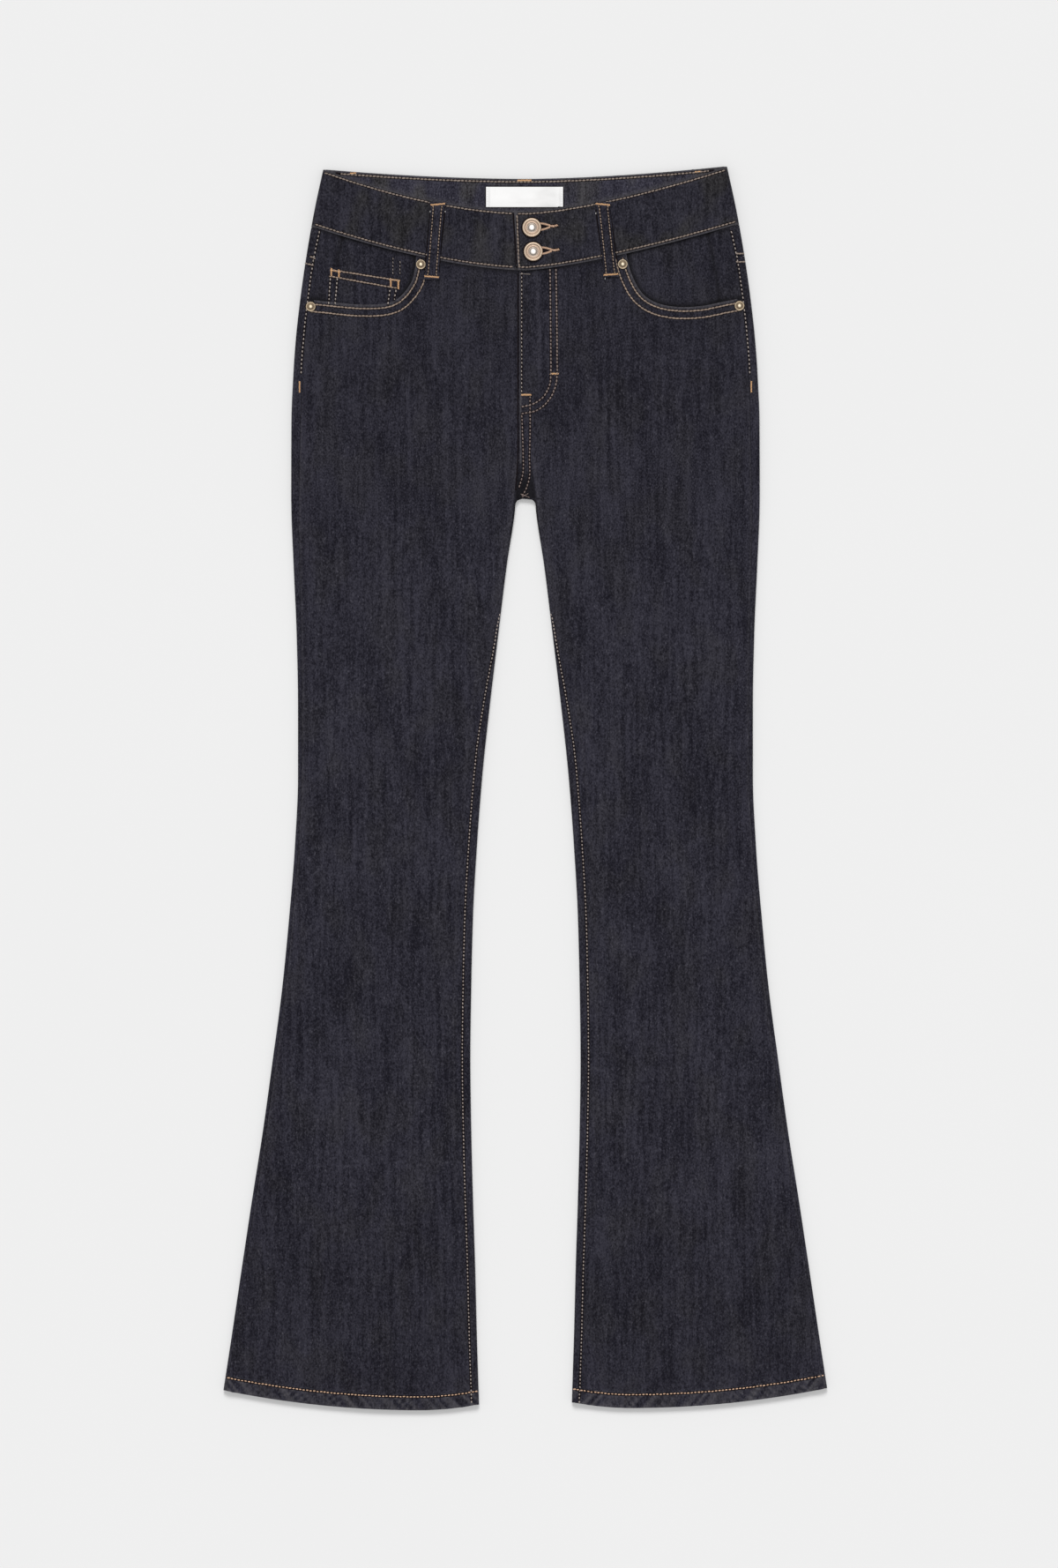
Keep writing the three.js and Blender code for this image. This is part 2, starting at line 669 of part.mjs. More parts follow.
// Rivet: a flat flange, a shallow ring and a small raised nipple
const rivetShape = () =>
  turned(
    [
      [0, 0],
      [RIVET_RADIUS - 0.3, 0],
      [RIVET_RADIUS, 0.5],
      [RIVET_RADIUS - 0.6, 1.1],
      [2.1, 1.1],
      [1.5, 1.9],
      [0, 2.2],
    ],
    16,
  );

// Finishes
const finish = (color, roughness, metalness) =>
  new THREE.MeshStandardMaterial({ color, roughness, metalness });
const denim = () => finish(0x2c2b33, 0.9, 0);
const satin = () => finish(0xe4e2de, 0.45, 0);
const copper = () => finish(0x8a5a3c, 0.35, 1);
const brass = () => finish(0xb08d57, 0.35, 1);

const jeans = new THREE.Group();

function add(name, geometry, material, x = 0, y = 0, z = 0) {
  const mesh = new THREE.Mesh(geometry, material);
  mesh.name = name;
  mesh.position.set(x, y, z);
  jeans.add(mesh);
}

for (const [side, name] of [
  [LEFT, "left"],
  [RIGHT, "right"],
]) {
  add(`back_${name}`, backPanel(side), denim());
  add(`yoke_${name}`, yoke(side), denim());
  add(`back_pocket_${name}`, backPocket(side), denim());
  add(`front_${name}`, frontPanel(side), denim());
  add(`pocket_facing_${name}`, pocketFacing(side), denim());
  add(`belt_loop_front_${name}`, frontLoop(side), denim());
  add(`belt_loop_back_${name}`, backLoop(side, SIDE_BACK_LOOP_ACROSS), denim());
}
add("belt_loop_back_centre", backLoop(LEFT, 0), denim());
add("coin_pocket", coinPocket(), denim());
add("waistband", waistband(), denim());

const labelOutline = [
  { across: LABEL.left, down: LABEL.top },
  { across: LABEL.right, down: LABEL.top },
  { across: LABEL.right, down: LABEL.bottom },
  { across: LABEL.left, down: LABEL.bottom },
];
const labelFoot = LOOP_CLOTH + SEAM_GAP + BAND + SEAM_GAP;
add("label", block(LEFT, labelOutline, labelFoot, labelFoot + THIN_DENIM), satin());

for (const { name, across, down } of BUTTONS) {
  const seat = bandTop + BAND + 2 * SEAM_GAP;
  add(name, buttonShape(), copper(), across, LENGTH / 2 - down, seat);
}
for (const { name, side, across, down, onSeam } of RIVETS) {
  const seat = (onSeam ? liftAt(down) + FOLD_HEIGHT : panelTop(down)) + SEAM_GAP;
  add(name, rivetShape(), brass(), side * across, LENGTH / 2 - down, seat);
}

export default jeans;
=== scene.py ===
# Flared jeans in dark raw denim, laid flat with the front up, seen from straight above.
# Sizes are millimetres until a mesh is made. +X is to the wearer's left and +Y towards the waist.
# "down" is measured from the top of the waist towards the hems.
import math

import bmesh
import bpy
import numpy as np
from mathutils import Matrix, Vector
from mathutils.bvhtree import BVHTree


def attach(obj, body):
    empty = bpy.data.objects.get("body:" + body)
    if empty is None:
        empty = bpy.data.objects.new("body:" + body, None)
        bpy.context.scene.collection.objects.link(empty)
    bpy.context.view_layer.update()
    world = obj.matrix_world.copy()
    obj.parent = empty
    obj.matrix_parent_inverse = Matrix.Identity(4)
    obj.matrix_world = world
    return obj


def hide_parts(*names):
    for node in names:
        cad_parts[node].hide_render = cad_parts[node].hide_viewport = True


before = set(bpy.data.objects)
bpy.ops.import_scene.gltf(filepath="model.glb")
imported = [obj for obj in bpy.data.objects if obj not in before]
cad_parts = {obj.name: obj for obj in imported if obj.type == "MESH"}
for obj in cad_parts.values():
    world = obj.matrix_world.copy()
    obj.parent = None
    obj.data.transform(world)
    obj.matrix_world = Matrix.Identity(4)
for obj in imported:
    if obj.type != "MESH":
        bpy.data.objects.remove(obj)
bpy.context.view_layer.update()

MM = 0.001
LENGTH = 1114.0
DENIM = 1.2
THIN_DENIM = 1.0
BAND = 2.2
BAND_DEPTH = 52.5
LOOP_CLOTH = 1.8
SEAM_GAP = 0.3
FOLD_HEIGHT = 4.4
BAND_FOLD_HEIGHT = 5.4
HEM_DEPTH = 12.3
HEM_CLOTH = 2.2
HEM_FOLD_HEIGHT = 5.4
HEM_TOP = LENGTH - HEM_DEPTH
HEM_ROW = -12.0
HEM_SHADE = (-14.6, -12.8)
HEM_ROLL = 11.5
ROLL_ABOVE_HEM = 13.0
CROTCH_DOWN = 297.0
FLY_END_DOWN = 213.0
INNER_FALL = 12.0
OUTER_FALL = 14.0
FRONT_TOP = 93.0
BACK_TOP = 128.0
BAND_TOP = LOOP_CLOTH + SEAM_GAP + BAND + SEAM_GAP + BAND
LEFT = 1
RIGHT = -1
SIDES = {LEFT: "left", RIGHT: "right"}

# Half widths of the laid garment: "outer" at the side fold, "inner" at the inside of the leg
OUTLINE = [
    dict(down=0, outer=180.6, inner=0),
    dict(down=40, outer=189.2, inner=0),
    dict(down=88, outer=197.5, inner=0),
    dict(down=119, outer=201.8, inner=0),
    dict(down=151, outer=205.4, inner=0),
    dict(down=183, outer=207.8, inner=0),
    dict(down=230, outer=209.7, inner=0),
    dict(down=297, outer=209.9, inner=0.15),
    dict(down=298.5, outer=209.9, inner=6.5),
    dict(down=302, outer=209.8, inner=8.9),
    dict(down=309, outer=209.7, inner=9.5),
    dict(down=356, outer=207.8, inner=16.6),
    dict(down=420, outer=205, inner=24.5),
    dict(down=483, outer=203.8, inner=32),
    dict(down=546, outer=203.8, inner=38.7),
    dict(down=609, outer=206.6, inner=43.5),
    dict(down=672, outer=211.7, inner=47),
    dict(down=736, outer=218, inner=48.6),
    dict(down=799, outer=226.3, inner=49.4),
    dict(down=862, outer=235, inner=48.6),
    dict(down=925, outer=244.9, inner=47),
    dict(down=988, outer=254.4, inner=45),
    dict(down=1052, outer=263.9, inner=43.5),
    dict(down=1114, outer=273.4, inner=41.6),
]
# How far the back panel wraps round the side fold onto the front
SIDE_SEAM = [
    dict(down=52, wrap=9.5),
    dict(down=90, wrap=8),
    dict(down=220, wrap=8),
    dict(down=285, wrap=7),
    dict(down=404, wrap=4.2),
    dict(down=506, wrap=3.2),
    dict(down=700, wrap=2.8),
    dict(down=1114, wrap=2.8),
]
# Height of the back layer over the surface, where belt loops and pockets lie under it
LIFT = [
    dict(down=84, lift=LOOP_CLOTH + SEAM_GAP),
    dict(down=106, lift=DENIM + SEAM_GAP),
    dict(down=272, lift=DENIM + SEAM_GAP),
    dict(down=336, lift=0),
]
# Room that the hidden pocket bags and the facings take between front and back
FILLING = [
    dict(down=150, room=THIN_DENIM + SEAM_GAP),
    dict(down=262, room=0),
]
# How far the inseam's topstitching lies inside the leg's inner edge
INSEAM = [
    dict(down=392, inset=-1.5),
    dict(down=404, inset=1.2),
    dict(down=437, inset=2.8),
    dict(down=476, inset=5.4),
    dict(down=530, inset=7.4),
    dict(down=1000, inset=6.8),
    dict(down=1114, inset=6.4),
]
# Edges of the waistband: "centre" and "side" are how far down they lie, and "power" is their bend
BAND_EDGES = {
    ("front_top", LEFT): dict(centre=40, side=0.8, reach=178.5, power=1.45),
    ("front_top", RIGHT): dict(centre=40, side=2.7, reach=181, power=1.72),
    ("front_bottom", LEFT): dict(centre=93, side=52, reach=188.5, power=1.35),
    ("front_bottom", RIGHT): dict(centre=93, side=54.5, reach=188.5, power=1.62),
    ("back_top", LEFT): dict(centre=11.2, side=0, reach=178.5, power=1.68),
    ("back_top", RIGHT): dict(centre=11.2, side=2.7, reach=181, power=1.8),
    ("back_bottom", LEFT): dict(centre=64, side=52, reach=188.5, power=1.7),
    ("back_bottom", RIGHT): dict(centre=64, side=54.5, reach=188.5, power=1.7),
    ("yoke_seam", LEFT): dict(centre=128, side=79, reach=200, power=1.1),
    ("yoke_seam", RIGHT): dict(centre=128, side=79, reach=200, power=1.1),
}
HEM_CREST = 95.0
HEM_OUTER_BEND = 0.00058
HEM_INNER_BEND = 0.0019
HEM_LOWEST = {LEFT: LENGTH - 2, RIGHT: LENGTH}

# Stitched edges of the two scooped front pockets, from the waistband out to the side seam
POCKET_MOUTH = {
    RIGHT: [(98, 72), (98.2, 84), (99, 92), (102.9, 104.8), (113.4, 117.5), (125.5, 122.6),
            (141.6, 123.7), (157.7, 123), (173.8, 121.3), (196, 119)],
    LEFT: [(90, 72), (91, 82), (95, 96), (101.8, 109.7), (110.4, 118.3), (123.2, 123.8),
           (140.4, 125.9), (159.3, 124.7), (176.4, 121.2), (196, 117.4)],
}
MOUTH_ROWS = (3.6, 10.2)
COIN_POCKET = dict(outer_top=(-177.2, 88.4), inner_top=(-111.8, 101.0), outer_foot=(-179.4, 131.0),
                   inner_foot=(-115.2, 131.0))
BACK_POCKET = [(32, 128), (172, 120), (165, 238), (105, 268), (42, 243)]
FRONT_LOOPS = {
    RIGHT: dict(top=78.4, bottom=84, top_down=31.6, bottom_down=101),
    LEFT: dict(top=69.3, bottom=76.6, top_down=31.6, bottom_down=99),
}
BACK_LOOPS = {"left": 155.0, "centre": 0.0, "right": -155.0}
BACK_LOOP_LENGTH = 69.0
LOOP_WAIST = 11.8
LOOP_ENDS = 15.0
FLY_EDGE = 5.0
LAP_FALL = (28, 44)
FLY_UNDERLAP = 8.0
OVERLAP_END = (10.0, 6.6)
BAND_UNDERLAP = 22.0
LABEL = dict(left=-35.3, right=33.7, top=18.1, bottom=36.3)
BUTTONS = {"button_upper": (5.7, 54.7), "button_lower": (7.0, 76.2)}
BUTTON_RADIUS = 8.5
RIVET_RADIUS = 4.35
RIVETS = {
    "rivet_right_inner": (-93.7, 87.6),
    "rivet_right_outer": (-192.4, 125.4),
    "rivet_left_inner": (87.2, 87.4),
    "rivet_left_outer": (191.8, 124.7),
}


# Curves and edges

def smooth_curve(rows, column):
    """Smooth function of "down" through one column of a table, which never swings past its rows."""
    at = np.array([row["down"] for row in rows], float)
    value = np.array([row[column] for row in rows], float)
    slope = np.diff(value) / np.diff(at)
    before = np.concatenate([slope[:1], slope])
    after = np.concatenate([slope, slope[-1:]])
    product = before * after
    total = np.where(product > 0, before + after, 1.0)
    tangent = np.where(product > 0, 2 * product / total, 0.0)

    def follow(down):
        down = np.clip(np.asarray(down, float), at[0], at[-1])
        i = np.clip(np.searchsorted(at, down, side="right") - 1, 0, len(slope) - 1)
        span = at[i + 1] - at[i]
        t = (down - at[i]) / span
        return (
            value[i] * (1 + 2 * t) * (1 - t) ** 2
            + tangent[i] * span * t * (1 - t) ** 2
            + value[i + 1] * t * t * (3 - 2 * t)
            + tangent[i + 1] * span * t * t * (t - 1)
        )

    return follow


outer_at = smooth_curve(OUTLINE, "outer")
inner_at = smooth_curve(OUTLINE, "inner")
wrap_at = smooth_curve(SIDE_SEAM, "wrap")
lift_at = smooth_curve(LIFT, "lift")
room_at = smooth_curve(FILLING, "room")
inset_at = smooth_curve(INSEAM, "inset")


def ease(value, start, end):
    """0 before start, 1 after end, and smooth between; start may be the larger of the two."""
    t = np.clip((np.asarray(value, float) - start) / (end - start), 0, 1)
    return t * t * (3 - 2 * t)


def mix(a, b, share):
    return a + (b - a) * share


def edge_at(edge, side, across):
    """How far down an edge lies, at a distance across from the middle towards a side."""
    across = np.asarray(across, float)

    def half(s):
        e = BAND_EDGES[edge, s]
        bend = np.minimum(np.abs(across) / e["reach"], 1) ** e["power"]
        return e["centre"] - (e["centre"] - e["side"]) * bend

    return np.where(across < 0, half(-side), half(side))


def hem_at(side, across):
    off = np.clip(across, 41, 275) - HEM_CREST
    return HEM_LOWEST[side] - np.where(off > 0, HEM_OUTER_BEND, HEM_INNER_BEND) * off * off


def panel_down(side, row, across, top_edge, first_row):
    """Depth of a panel's point: rows follow the panel's top edge at first and the hem at last."""
    top = edge_at(top_edge, side, across) + SEAM_GAP - first_row
    hem = hem_at(side, across) - LENGTH
    fade = 1 - ease(row, first_row, CROTCH_DOWN - 30)
    return row + top * fade + hem * ease(row, 988, 1087)


def front_edge(side, down):
    """Inside edge of a front panel above the crotch."""
    lean = 3 * ease(down, 262, CROTCH_DOWN)
    if side == LEFT:
        return -FLY_EDGE - lean
    return mix(-FLY_UNDERLAP, FLY_EDGE + SEAM_GAP + lean, ease(down, FLY_END_DOWN - 8, FLY_END_DOWN))


def seam_at(down):
    return outer_at(down) - wrap_at(down) - SEAM_GAP


def fly_rise(x, down):
    """The fly lies on the other front's edge, and falls to the single cloth beside and below it."""
    return (DENIM + SEAM_GAP) * (1 - ease(x, *LAP_FALL)) * (1 - ease(down, 216, 226))


# Paths of sewing, as points (x, down)

def line(points, step=1.5):
    """Smooth path through given points, with evenly spaced steps."""
    p = np.array(points, float)
    if len(p) > 2:
        ends = np.vstack([2 * p[0] - p[1], p, 2 * p[-1] - p[-2]])
        t = np.linspace(0, 1, 13)[:-1, None]
        parts = []
        for a, b, c, d in zip(ends, ends[1:], ends[2:], ends[3:]):
            parts.append(
                0.5 * (2 * b + (c - a) * t + (2 * a - 5 * b + 4 * c - d) * t**2
                       + (3 * b - a - 3 * c + d) * t**3)
            )
        p = np.vstack(parts + [p[-1:]])
    return even(p, step)


def even(points, step):
    """The same path with a point every step."""
    points = np.asarray(points, float)
    length = np.concatenate([[0], np.cumsum(np.linalg.norm(np.diff(points, axis=0), axis=1))])
    count = max(2, int(round(length[-1] / step)) + 1)
    at = np.linspace(0, length[-1], count)
    return np.stack([np.interp(at, length, points[:, k]) for k in (0, 1)], axis=1)


def beside(path, distance):
    """The path moved sideways: to the left of its direction where distance is positive."""
    along = np.gradient(path, axis=0)
    along /= np.maximum(np.linalg.norm(along, axis=1, keepdims=True), 1e-9)
    return path + distance * np.stack([-along[:, 1], along[:, 0]], axis=1)


def circle(x, down, radius, points):
    turn = np.linspace(0, 2 * math.pi, points)
    return np.stack([x + radius * np.cos(turn), down + radius * np.sin(turn)], axis=1)


def down_line(x_at, start, end, step=3.0):
    """Path that follows x_at(down)."""
    down = np.arange(start, end + step / 2, step)
    return np.stack([x_at(down), down], axis=1)


def near(path, x, down, reach):
    """Distance to a path, the place along it and the side of it, where it is within reach."""
    distance = np.full(x.shape, 1e6)
    arc = np.zeros(x.shape)
    way = np.zeros(x.shape)
    low = path.min(0) - reach
    high = path.max(0) + reach
    mask = (x > low[0]) & (x < high[0]) & (down > low[1]) & (down < high[1])
    if not mask.any():
        return distance, arc, way
    a, b = path[:-1], path[1:]
    ab = b - a
    size = np.maximum((ab**2).sum(1), 1e-9)
    start = np.concatenate([[0], np.cumsum(np.sqrt(size))])[:-1]
    points = np.stack([x[mask], down[mask]], axis=1)
    found = np.zeros((3, len(points)))
    for first in range(0, len(points), 4000):
        p = points[first:first + 4000, None, :] - a[None]
        t = np.clip((p * ab).sum(2) / size, 0, 1)
        off = p - t[..., None] * ab
        d = (off**2).sum(2)
        best = d.argmin(1)
        row = np.arange(len(best))
        cross = ab[best, 0] * p[row, best, 1] - ab[best, 1] * p[row, best, 0]
        found[:, first:first + len(best)] = (
            np.sqrt(d[row, best]),
            start[best] + t[row, best] * np.sqrt(size[best]),
            np.sign(cross),
        )
    distance[mask], arc[mask], way[mask] = found
    return distance, arc, way


def spaced(*stretches):
    """Numbers over stretches of (start, end, step), one after the other."""
    parts = [
        np.linspace(start, end, max(1, round((end - start) / step)) + 1)[:-1]
        for start, end, step in stretches
    ]
    return np.concatenate(parts + [[stretches[-1][1]]])


def mouth_path(side):
    return line([(side * across, down) for across, down in POCKET_MOUTH[side]])


def mouth_row(side, distance):
    """Row of stitching beside a pocket mouth, on the panel's side of it."""
    path = beside(mouth_path(side), side * distance)
    keep = path[:, 1] > edge_at("front_bottom", side, np.abs(path[:, 0])) + 1.5
    keep &= np.abs(path[:, 0]) < seam_at(path[:, 1]) - 1
    return path[keep]


def edge_down(edge, x):
    """How far down an edge of the waistband lies at x."""
    return np.where(x < 0, edge_at(edge, RIGHT, np.abs(x)), edge_at(edge, LEFT, np.abs(x)))


def band_path(edge, off, start, end, step=3.0):
    """Path beside an edge of the waistband, off further down, from x = start to x = end."""
    x = np.arange(start, end + step / 2, step)
    return np.stack([x, edge_down(edge, x) + off], axis=1)


def inseam_path(side, end=1097):
    return down_line(lambda d: side * (inner_at(d) + inset_at(d)), 400, end)


def side_path(side, start=57, end=186):
    return down_line(lambda d: side * (outer_at(d) - wrap_at(d) + 1.2), start, end)


def hem_path(side, off, start=44, end=270):
    across = np.arange(start, end, 3.0)
    return np.stack([side * across, hem_at(side, across) + off], axis=1)


FLY_OUTER = line([(27.3, 88), (28, 130), (28.4, 167), (28.4, 184), (27.6, 194.3), (26, 199.9),
                  (23.4, 205.5), (20, 210.5), (15.6, 214.9), (11.2, 217.9), (5.6, 219.9),
                  (0.1, 220.8), (-4.2, 221.2)])
FLY_INNER = line([(22, 88), (22.5, 130), (22.8, 167), (22.8, 184), (22.3, 193), (20.6, 198.8),
                  (17.9, 203.8), (14, 208.2), (8.9, 211.6), (3.4, 213.8), (-4, 215.3)])
FLY_ROW = line([(-3.3, 94), (-3.4, 150), (-3.4, 203)])
SEAM_ROW_LEFT = line([(-3.4, 222), (-2.7, 236), (-2.2, 252), (-1.9, 266), (-2.4, 275), (-4.2, 283),
                      (-5.8, 288)])
SEAM_ROW_RIGHT = line([(4.2, 205), (4.2, 233), (3.6, 261), (4, 273), (2.8, 282), (0.1, 289.7),
                       (-3.4, 295.5)])
# The legs' inner folds start above the crotch and part from its flat cloth; a painted highlight lies along
# them and painted shade lies on the cloth between them.
LEG_FOLDS = {side: line([(side * 7.3, 262), (side * 9.6, 284), (side * 13.4, 322)]) for side in SIDES}
COIN_ROWS = [
    line([(-173.2, 92.6), (-112.9, 102.2)]),
    line([(-176.3, 98.0), (-114.9, 109.0)]),
    line([(-174.8, 99.2), (-176.4, 124)]),
    line([(-168.4, 99.2), (-170.7, 124)]),
    line([(-121.3, 109.6), (-123.4, 124)]),
    line([(-115.9, 109.3), (-117.7, 121)]),
]


# Relief of the sewn cloth, in millimetres of height

def ripple(arc, length, seed):
    """Uneven waves of about the given length."""
    t = arc * (2 * math.pi / length)
    wave = np.sin(t + 1.3 * np.sin(0.37 * t + seed)) + 0.5 * np.sin(1.73 * t + 2 * seed)
    return wave / 1.5 * (0.65 + 0.35 * np.sin(0.23 * t + 1.7 * seed))


def drift(x, down, size, seed):
    """Slow, smooth unevenness between about -1 and 1."""
    u = x * (2 * math.pi / size)
    v = down * (2 * math.pi / size)
    return (
        np.sin(0.83 * u + 0.41 * v + seed)
        + np.sin(-0.52 * u + 0.77 * v + 1.9 * seed + 1)
        + 0.7 * np.sin(1.31 * u - 0.23 * v + 2.7 * seed + np.sin(0.6 * v))
        + 0.5 * np.sin(0.19 * u + 1.57 * v + 0.7 * seed)
    ) / 3.2


def sewn(x, down, path, seed, groove=0.28, pucker=0.12, length=8.0, reach=7.0, only=0, slant=0.5):
    """A stitched row sinks into the cloth and gathers small puckers beside it.
    only is the side of the path that puckers, and 0 is both."""
    distance, arc, way = near(path, x, down, 2.2 * reach)
    sunk = -groove * np.exp(-((distance / 1.25) ** 2))
    beside_row = 1.0 if only == 0 else np.where(way == only, 1.0, 0.15)
    waves = ripple(arc + slant * distance * np.where(way == 0, 1, way), length, seed)
    fade = np.exp(-((distance / reach) ** 2)) * (1 - 0.75 * np.exp(-((distance / 1.4) ** 2)))
    return sunk + pucker * waves * fade * beside_row


def ridge(x, down, path, height, width):
    distance, _, _ = near(path, x, down, 3 * width)
    return height * np.exp(-((distance / width) ** 2))


# Shaders

class Value:
    """A shader socket on which Python's arithmetic adds Math nodes."""

    def __init__(self, paint, socket):
        self.paint = paint
        self.socket = socket

    def maths(self, operation, *others):
        inputs = dict(enumerate((self, *others)))
        return self.paint.node("ShaderNodeMath", inputs, operation=operation)

    def __add__(self, other):
        return self.maths("ADD", other)

    def __radd__(self, other):
        return self.maths("ADD", other)

    def __sub__(self, other):
        return self.maths("SUBTRACT", other)

    def __rsub__(self, other):
        return self.paint.node("ShaderNodeMath", {0: other, 1: self}, operation="SUBTRACT")

    def __mul__(self, other):
        return self.maths("MULTIPLY", other)

    def __rmul__(self, other):
        return self.maths("MULTIPLY", other)

    def __truediv__(self, other):
        return self.maths("DIVIDE", other)

    def __pow__(self, other):
        return self.maths("POWER", other)


class Paint:
    """A material whose pattern is read in millimetres from Object coordinates."""

    def __init__(self, name, **constants):
        self.material = bpy.data.materials.new(name)
        self.material.use_nodes = True
        self.tree = self.material.node_tree
        self.shader = self.tree.nodes["Principled BSDF"]
        for socket, value in constants.items():
            self.shader.inputs[socket.replace("_", " ")].default_value = value

    def node(self, kind, inputs=None, output=0, **settings):
        node = self.tree.nodes.new(kind)
        for name, value in settings.items():
            setattr(node, name, value)
        for name, value in (inputs or {}).items():
            self.join(node.inputs[name], value)
        return Value(self, node.outputs[output])

    def join(self, socket, value):
        if isinstance(value, Value):
            self.tree.links.new(value.socket, socket)
        else:
            socket.default_value = value

    def place(self, stretch=(1, 1, 1), turn=0.0, offset=(0, 0, 0)):
        """Object coordinates in millimetres, turned about +Z, moved and divided by stretch."""
        at = self.node("ShaderNodeTexCoord", output="Object")
        settled = self.node("ShaderNodeMapping", {
            "Vector": at,
            "Location": tuple(offset),
            "Rotation": (0, 0, turn),
            "Scale": (1000, 1000, 1000),
        })
        return self.node("ShaderNodeVectorMath", {0: settled, 1: tuple(1 / s for s in stretch)},
                         operation="MULTIPLY")

    def noise(self, place, detail=2.0, rough=0.5):
        return self.node("ShaderNodeTexNoise", {
            "Vector": place, "Scale": 1.0, "Detail": detail, "Roughness": rough,
        })

    def between(self, value, low, high, start=0.0, end=1.0):
        return self.node("ShaderNodeMapRange", {
            "Value": value, "From Min": low, "From Max": high, "To Min": start, "To Max": end,
        }, interpolation_type="SMOOTHSTEP")

    def blend(self, share, a, b):
        node = self.tree.nodes.new("ShaderNodeMix")
        node.data_type = "RGBA"
        self.join(node.inputs[0], share)
        self.join(node.inputs[6], a if isinstance(a, Value) else (*a, 1))
        self.join(node.inputs[7], b if isinstance(b, Value) else (*b, 1))
        return Value(self, node.outputs[2])

    def attribute(self, name, output="Fac"):
        return self.node("ShaderNodeAttribute", output=output, attribute_name=name)

    def axes(self, vector):
        node = self.tree.nodes.new("ShaderNodeSeparateXYZ")
        self.join(node.inputs[0], vector)
        return [Value(self, node.outputs[k]) for k in range(3)]

    def bump(self, height, distance, strength=1.0):
        normal = self.node("ShaderNodeBump", {
            "Height": height, "Distance": distance * MM, "Strength": strength,
        })
        self.join(self.shader.inputs["Normal"], normal)

    def colour(self, value):
        self.join(self.shader.inputs["Base Color"], value)

    def roughness(self, value):
        self.join(self.shader.inputs["Roughness"], value)


DARK_BLUE = (0.0048, 0.0042, 0.0092)
LIGHT_BLUE = (0.0375, 0.0360, 0.0520)
DARK_EARTH = (0.0062, 0.0055, 0.0068)
LIGHT_EARTH = (0.0420, 0.0400, 0.0440)
SPECK = (0.105, 0.100, 0.118)
# The next two colours: a pale one for worn cloth and painted highlights, and a near-black one for painted
# shade.
WEAR_AND_HIGHLIGHT = (0.092, 0.087, 0.096)
PAINTED_SHADE = (0.0035, 0.0030, 0.0045)


def denim(name, bright=1.0, contrast=1.0, brown=0.32, seed=0.0):
    """Raw twill: light flecks, warp slubs down the cloth, and slow changes of tone and hue.
    The vertex attribute blends it towards the pale colour for worn hems and edges and for painted
    highlights, and where it is negative darkens it with painted shade."""
    paint = Paint(name, Sheen_Weight=0.03, Sheen_Roughness=0.5, Specular_IOR_Level=0.15)
    move = (37 * seed, 91 * seed, 0)
    x, y, _ = paint.axes(paint.place(offset=move))
    wale = ((x * 0.87 + y * 0.5) * (2 * math.pi / 0.62)).maths("SINE") * 0.5 + 0.5
    fleck = paint.noise(paint.place((1.2, 1.9, 2), offset=move), detail=2, rough=0.6)
    slub = paint.noise(paint.place((1.6, 10, 4), offset=move), detail=2)
    long_slub = paint.noise(paint.place((3.8, 55, 9), offset=move), detail=1)
    mottle = paint.noise(paint.place((7, 10, 7), offset=move), detail=2)
    broad = paint.noise(paint.place((50, 75, 50), offset=move), detail=1)
    hue = paint.noise(paint.place((27, 45, 27), offset=(5 + seed, 3, 0)), detail=1)
    grain = (fleck - 0.5) * 1.5 + (slub - 0.5) * 0.4
    slow = (long_slub - 0.5) * 0.58 + (mottle - 0.5) * 0.30 + (broad - 0.5) * 0.42
    tone = paint.between((grain + slow) * contrast, -0.40, 0.46)
    blue = paint.blend(tone, *(tuple(bright * c for c in tint) for tint in (DARK_BLUE, LIGHT_BLUE)))
    earth = paint.blend(tone, *(tuple(bright * c for c in tint) for tint in (DARK_EARTH, LIGHT_EARTH)))
    plain = paint.blend(paint.between(hue, 0.45, 0.66, 0.1, 1.0) * brown, blue, earth)
    speck = paint.between(fleck, 0.60, 0.80) * paint.between(slub, 0.4, 0.65)
    flecked = paint.blend(speck * 0.7, plain, tuple(bright * c for c in SPECK))
    # Positive values of the vertex attribute blend towards the pale colour, for worn cloth and for painted
    # highlights; negative values darken it with painted shade.
    wear_and_painted_shading = paint.attribute("wear_and_painted_shading")
    worn = paint.blend(wear_and_painted_shading * paint.between(grain, -0.5, 0.5, 0.45, 1.1), flecked, WEAR_AND_HIGHLIGHT)
    paint.colour(paint.blend(wear_and_painted_shading * -1, worn, PAINTED_SHADE))
    paint.roughness(paint.between(grain, -0.5, 0.5, 0.92, 0.78))
    paint.bump(wale * 0.35 + fleck * 0.5 + slub * 0.9, 0.12, 0.8)
    return paint.material


def thread(name, colour, dark):
    """Twisted sewing thread, a little different in each stitch."""
    paint = Paint(name, Sheen_Weight=0.25, Sheen_Roughness=0.35, Specular_IOR_Level=0.5)
    along, around, tone = paint.axes(paint.attribute("thread", "Vector"))
    twist = (along * 9.0 + around * 6.283).maths("SINE") * 0.5 + 0.5
    fuzz = paint.noise(paint.place((0.2, 0.2, 0.2)), detail=1)
    shade = paint.between(twist, 0.0, 0.7) * 0.55 + tone * 0.45
    paint.colour(paint.blend(shade, dark, colour))
    paint.roughness(0.42 + fuzz * 0.25)
    paint.bump(twist + fuzz * 0.4, 0.06, 0.8)
    return paint.material


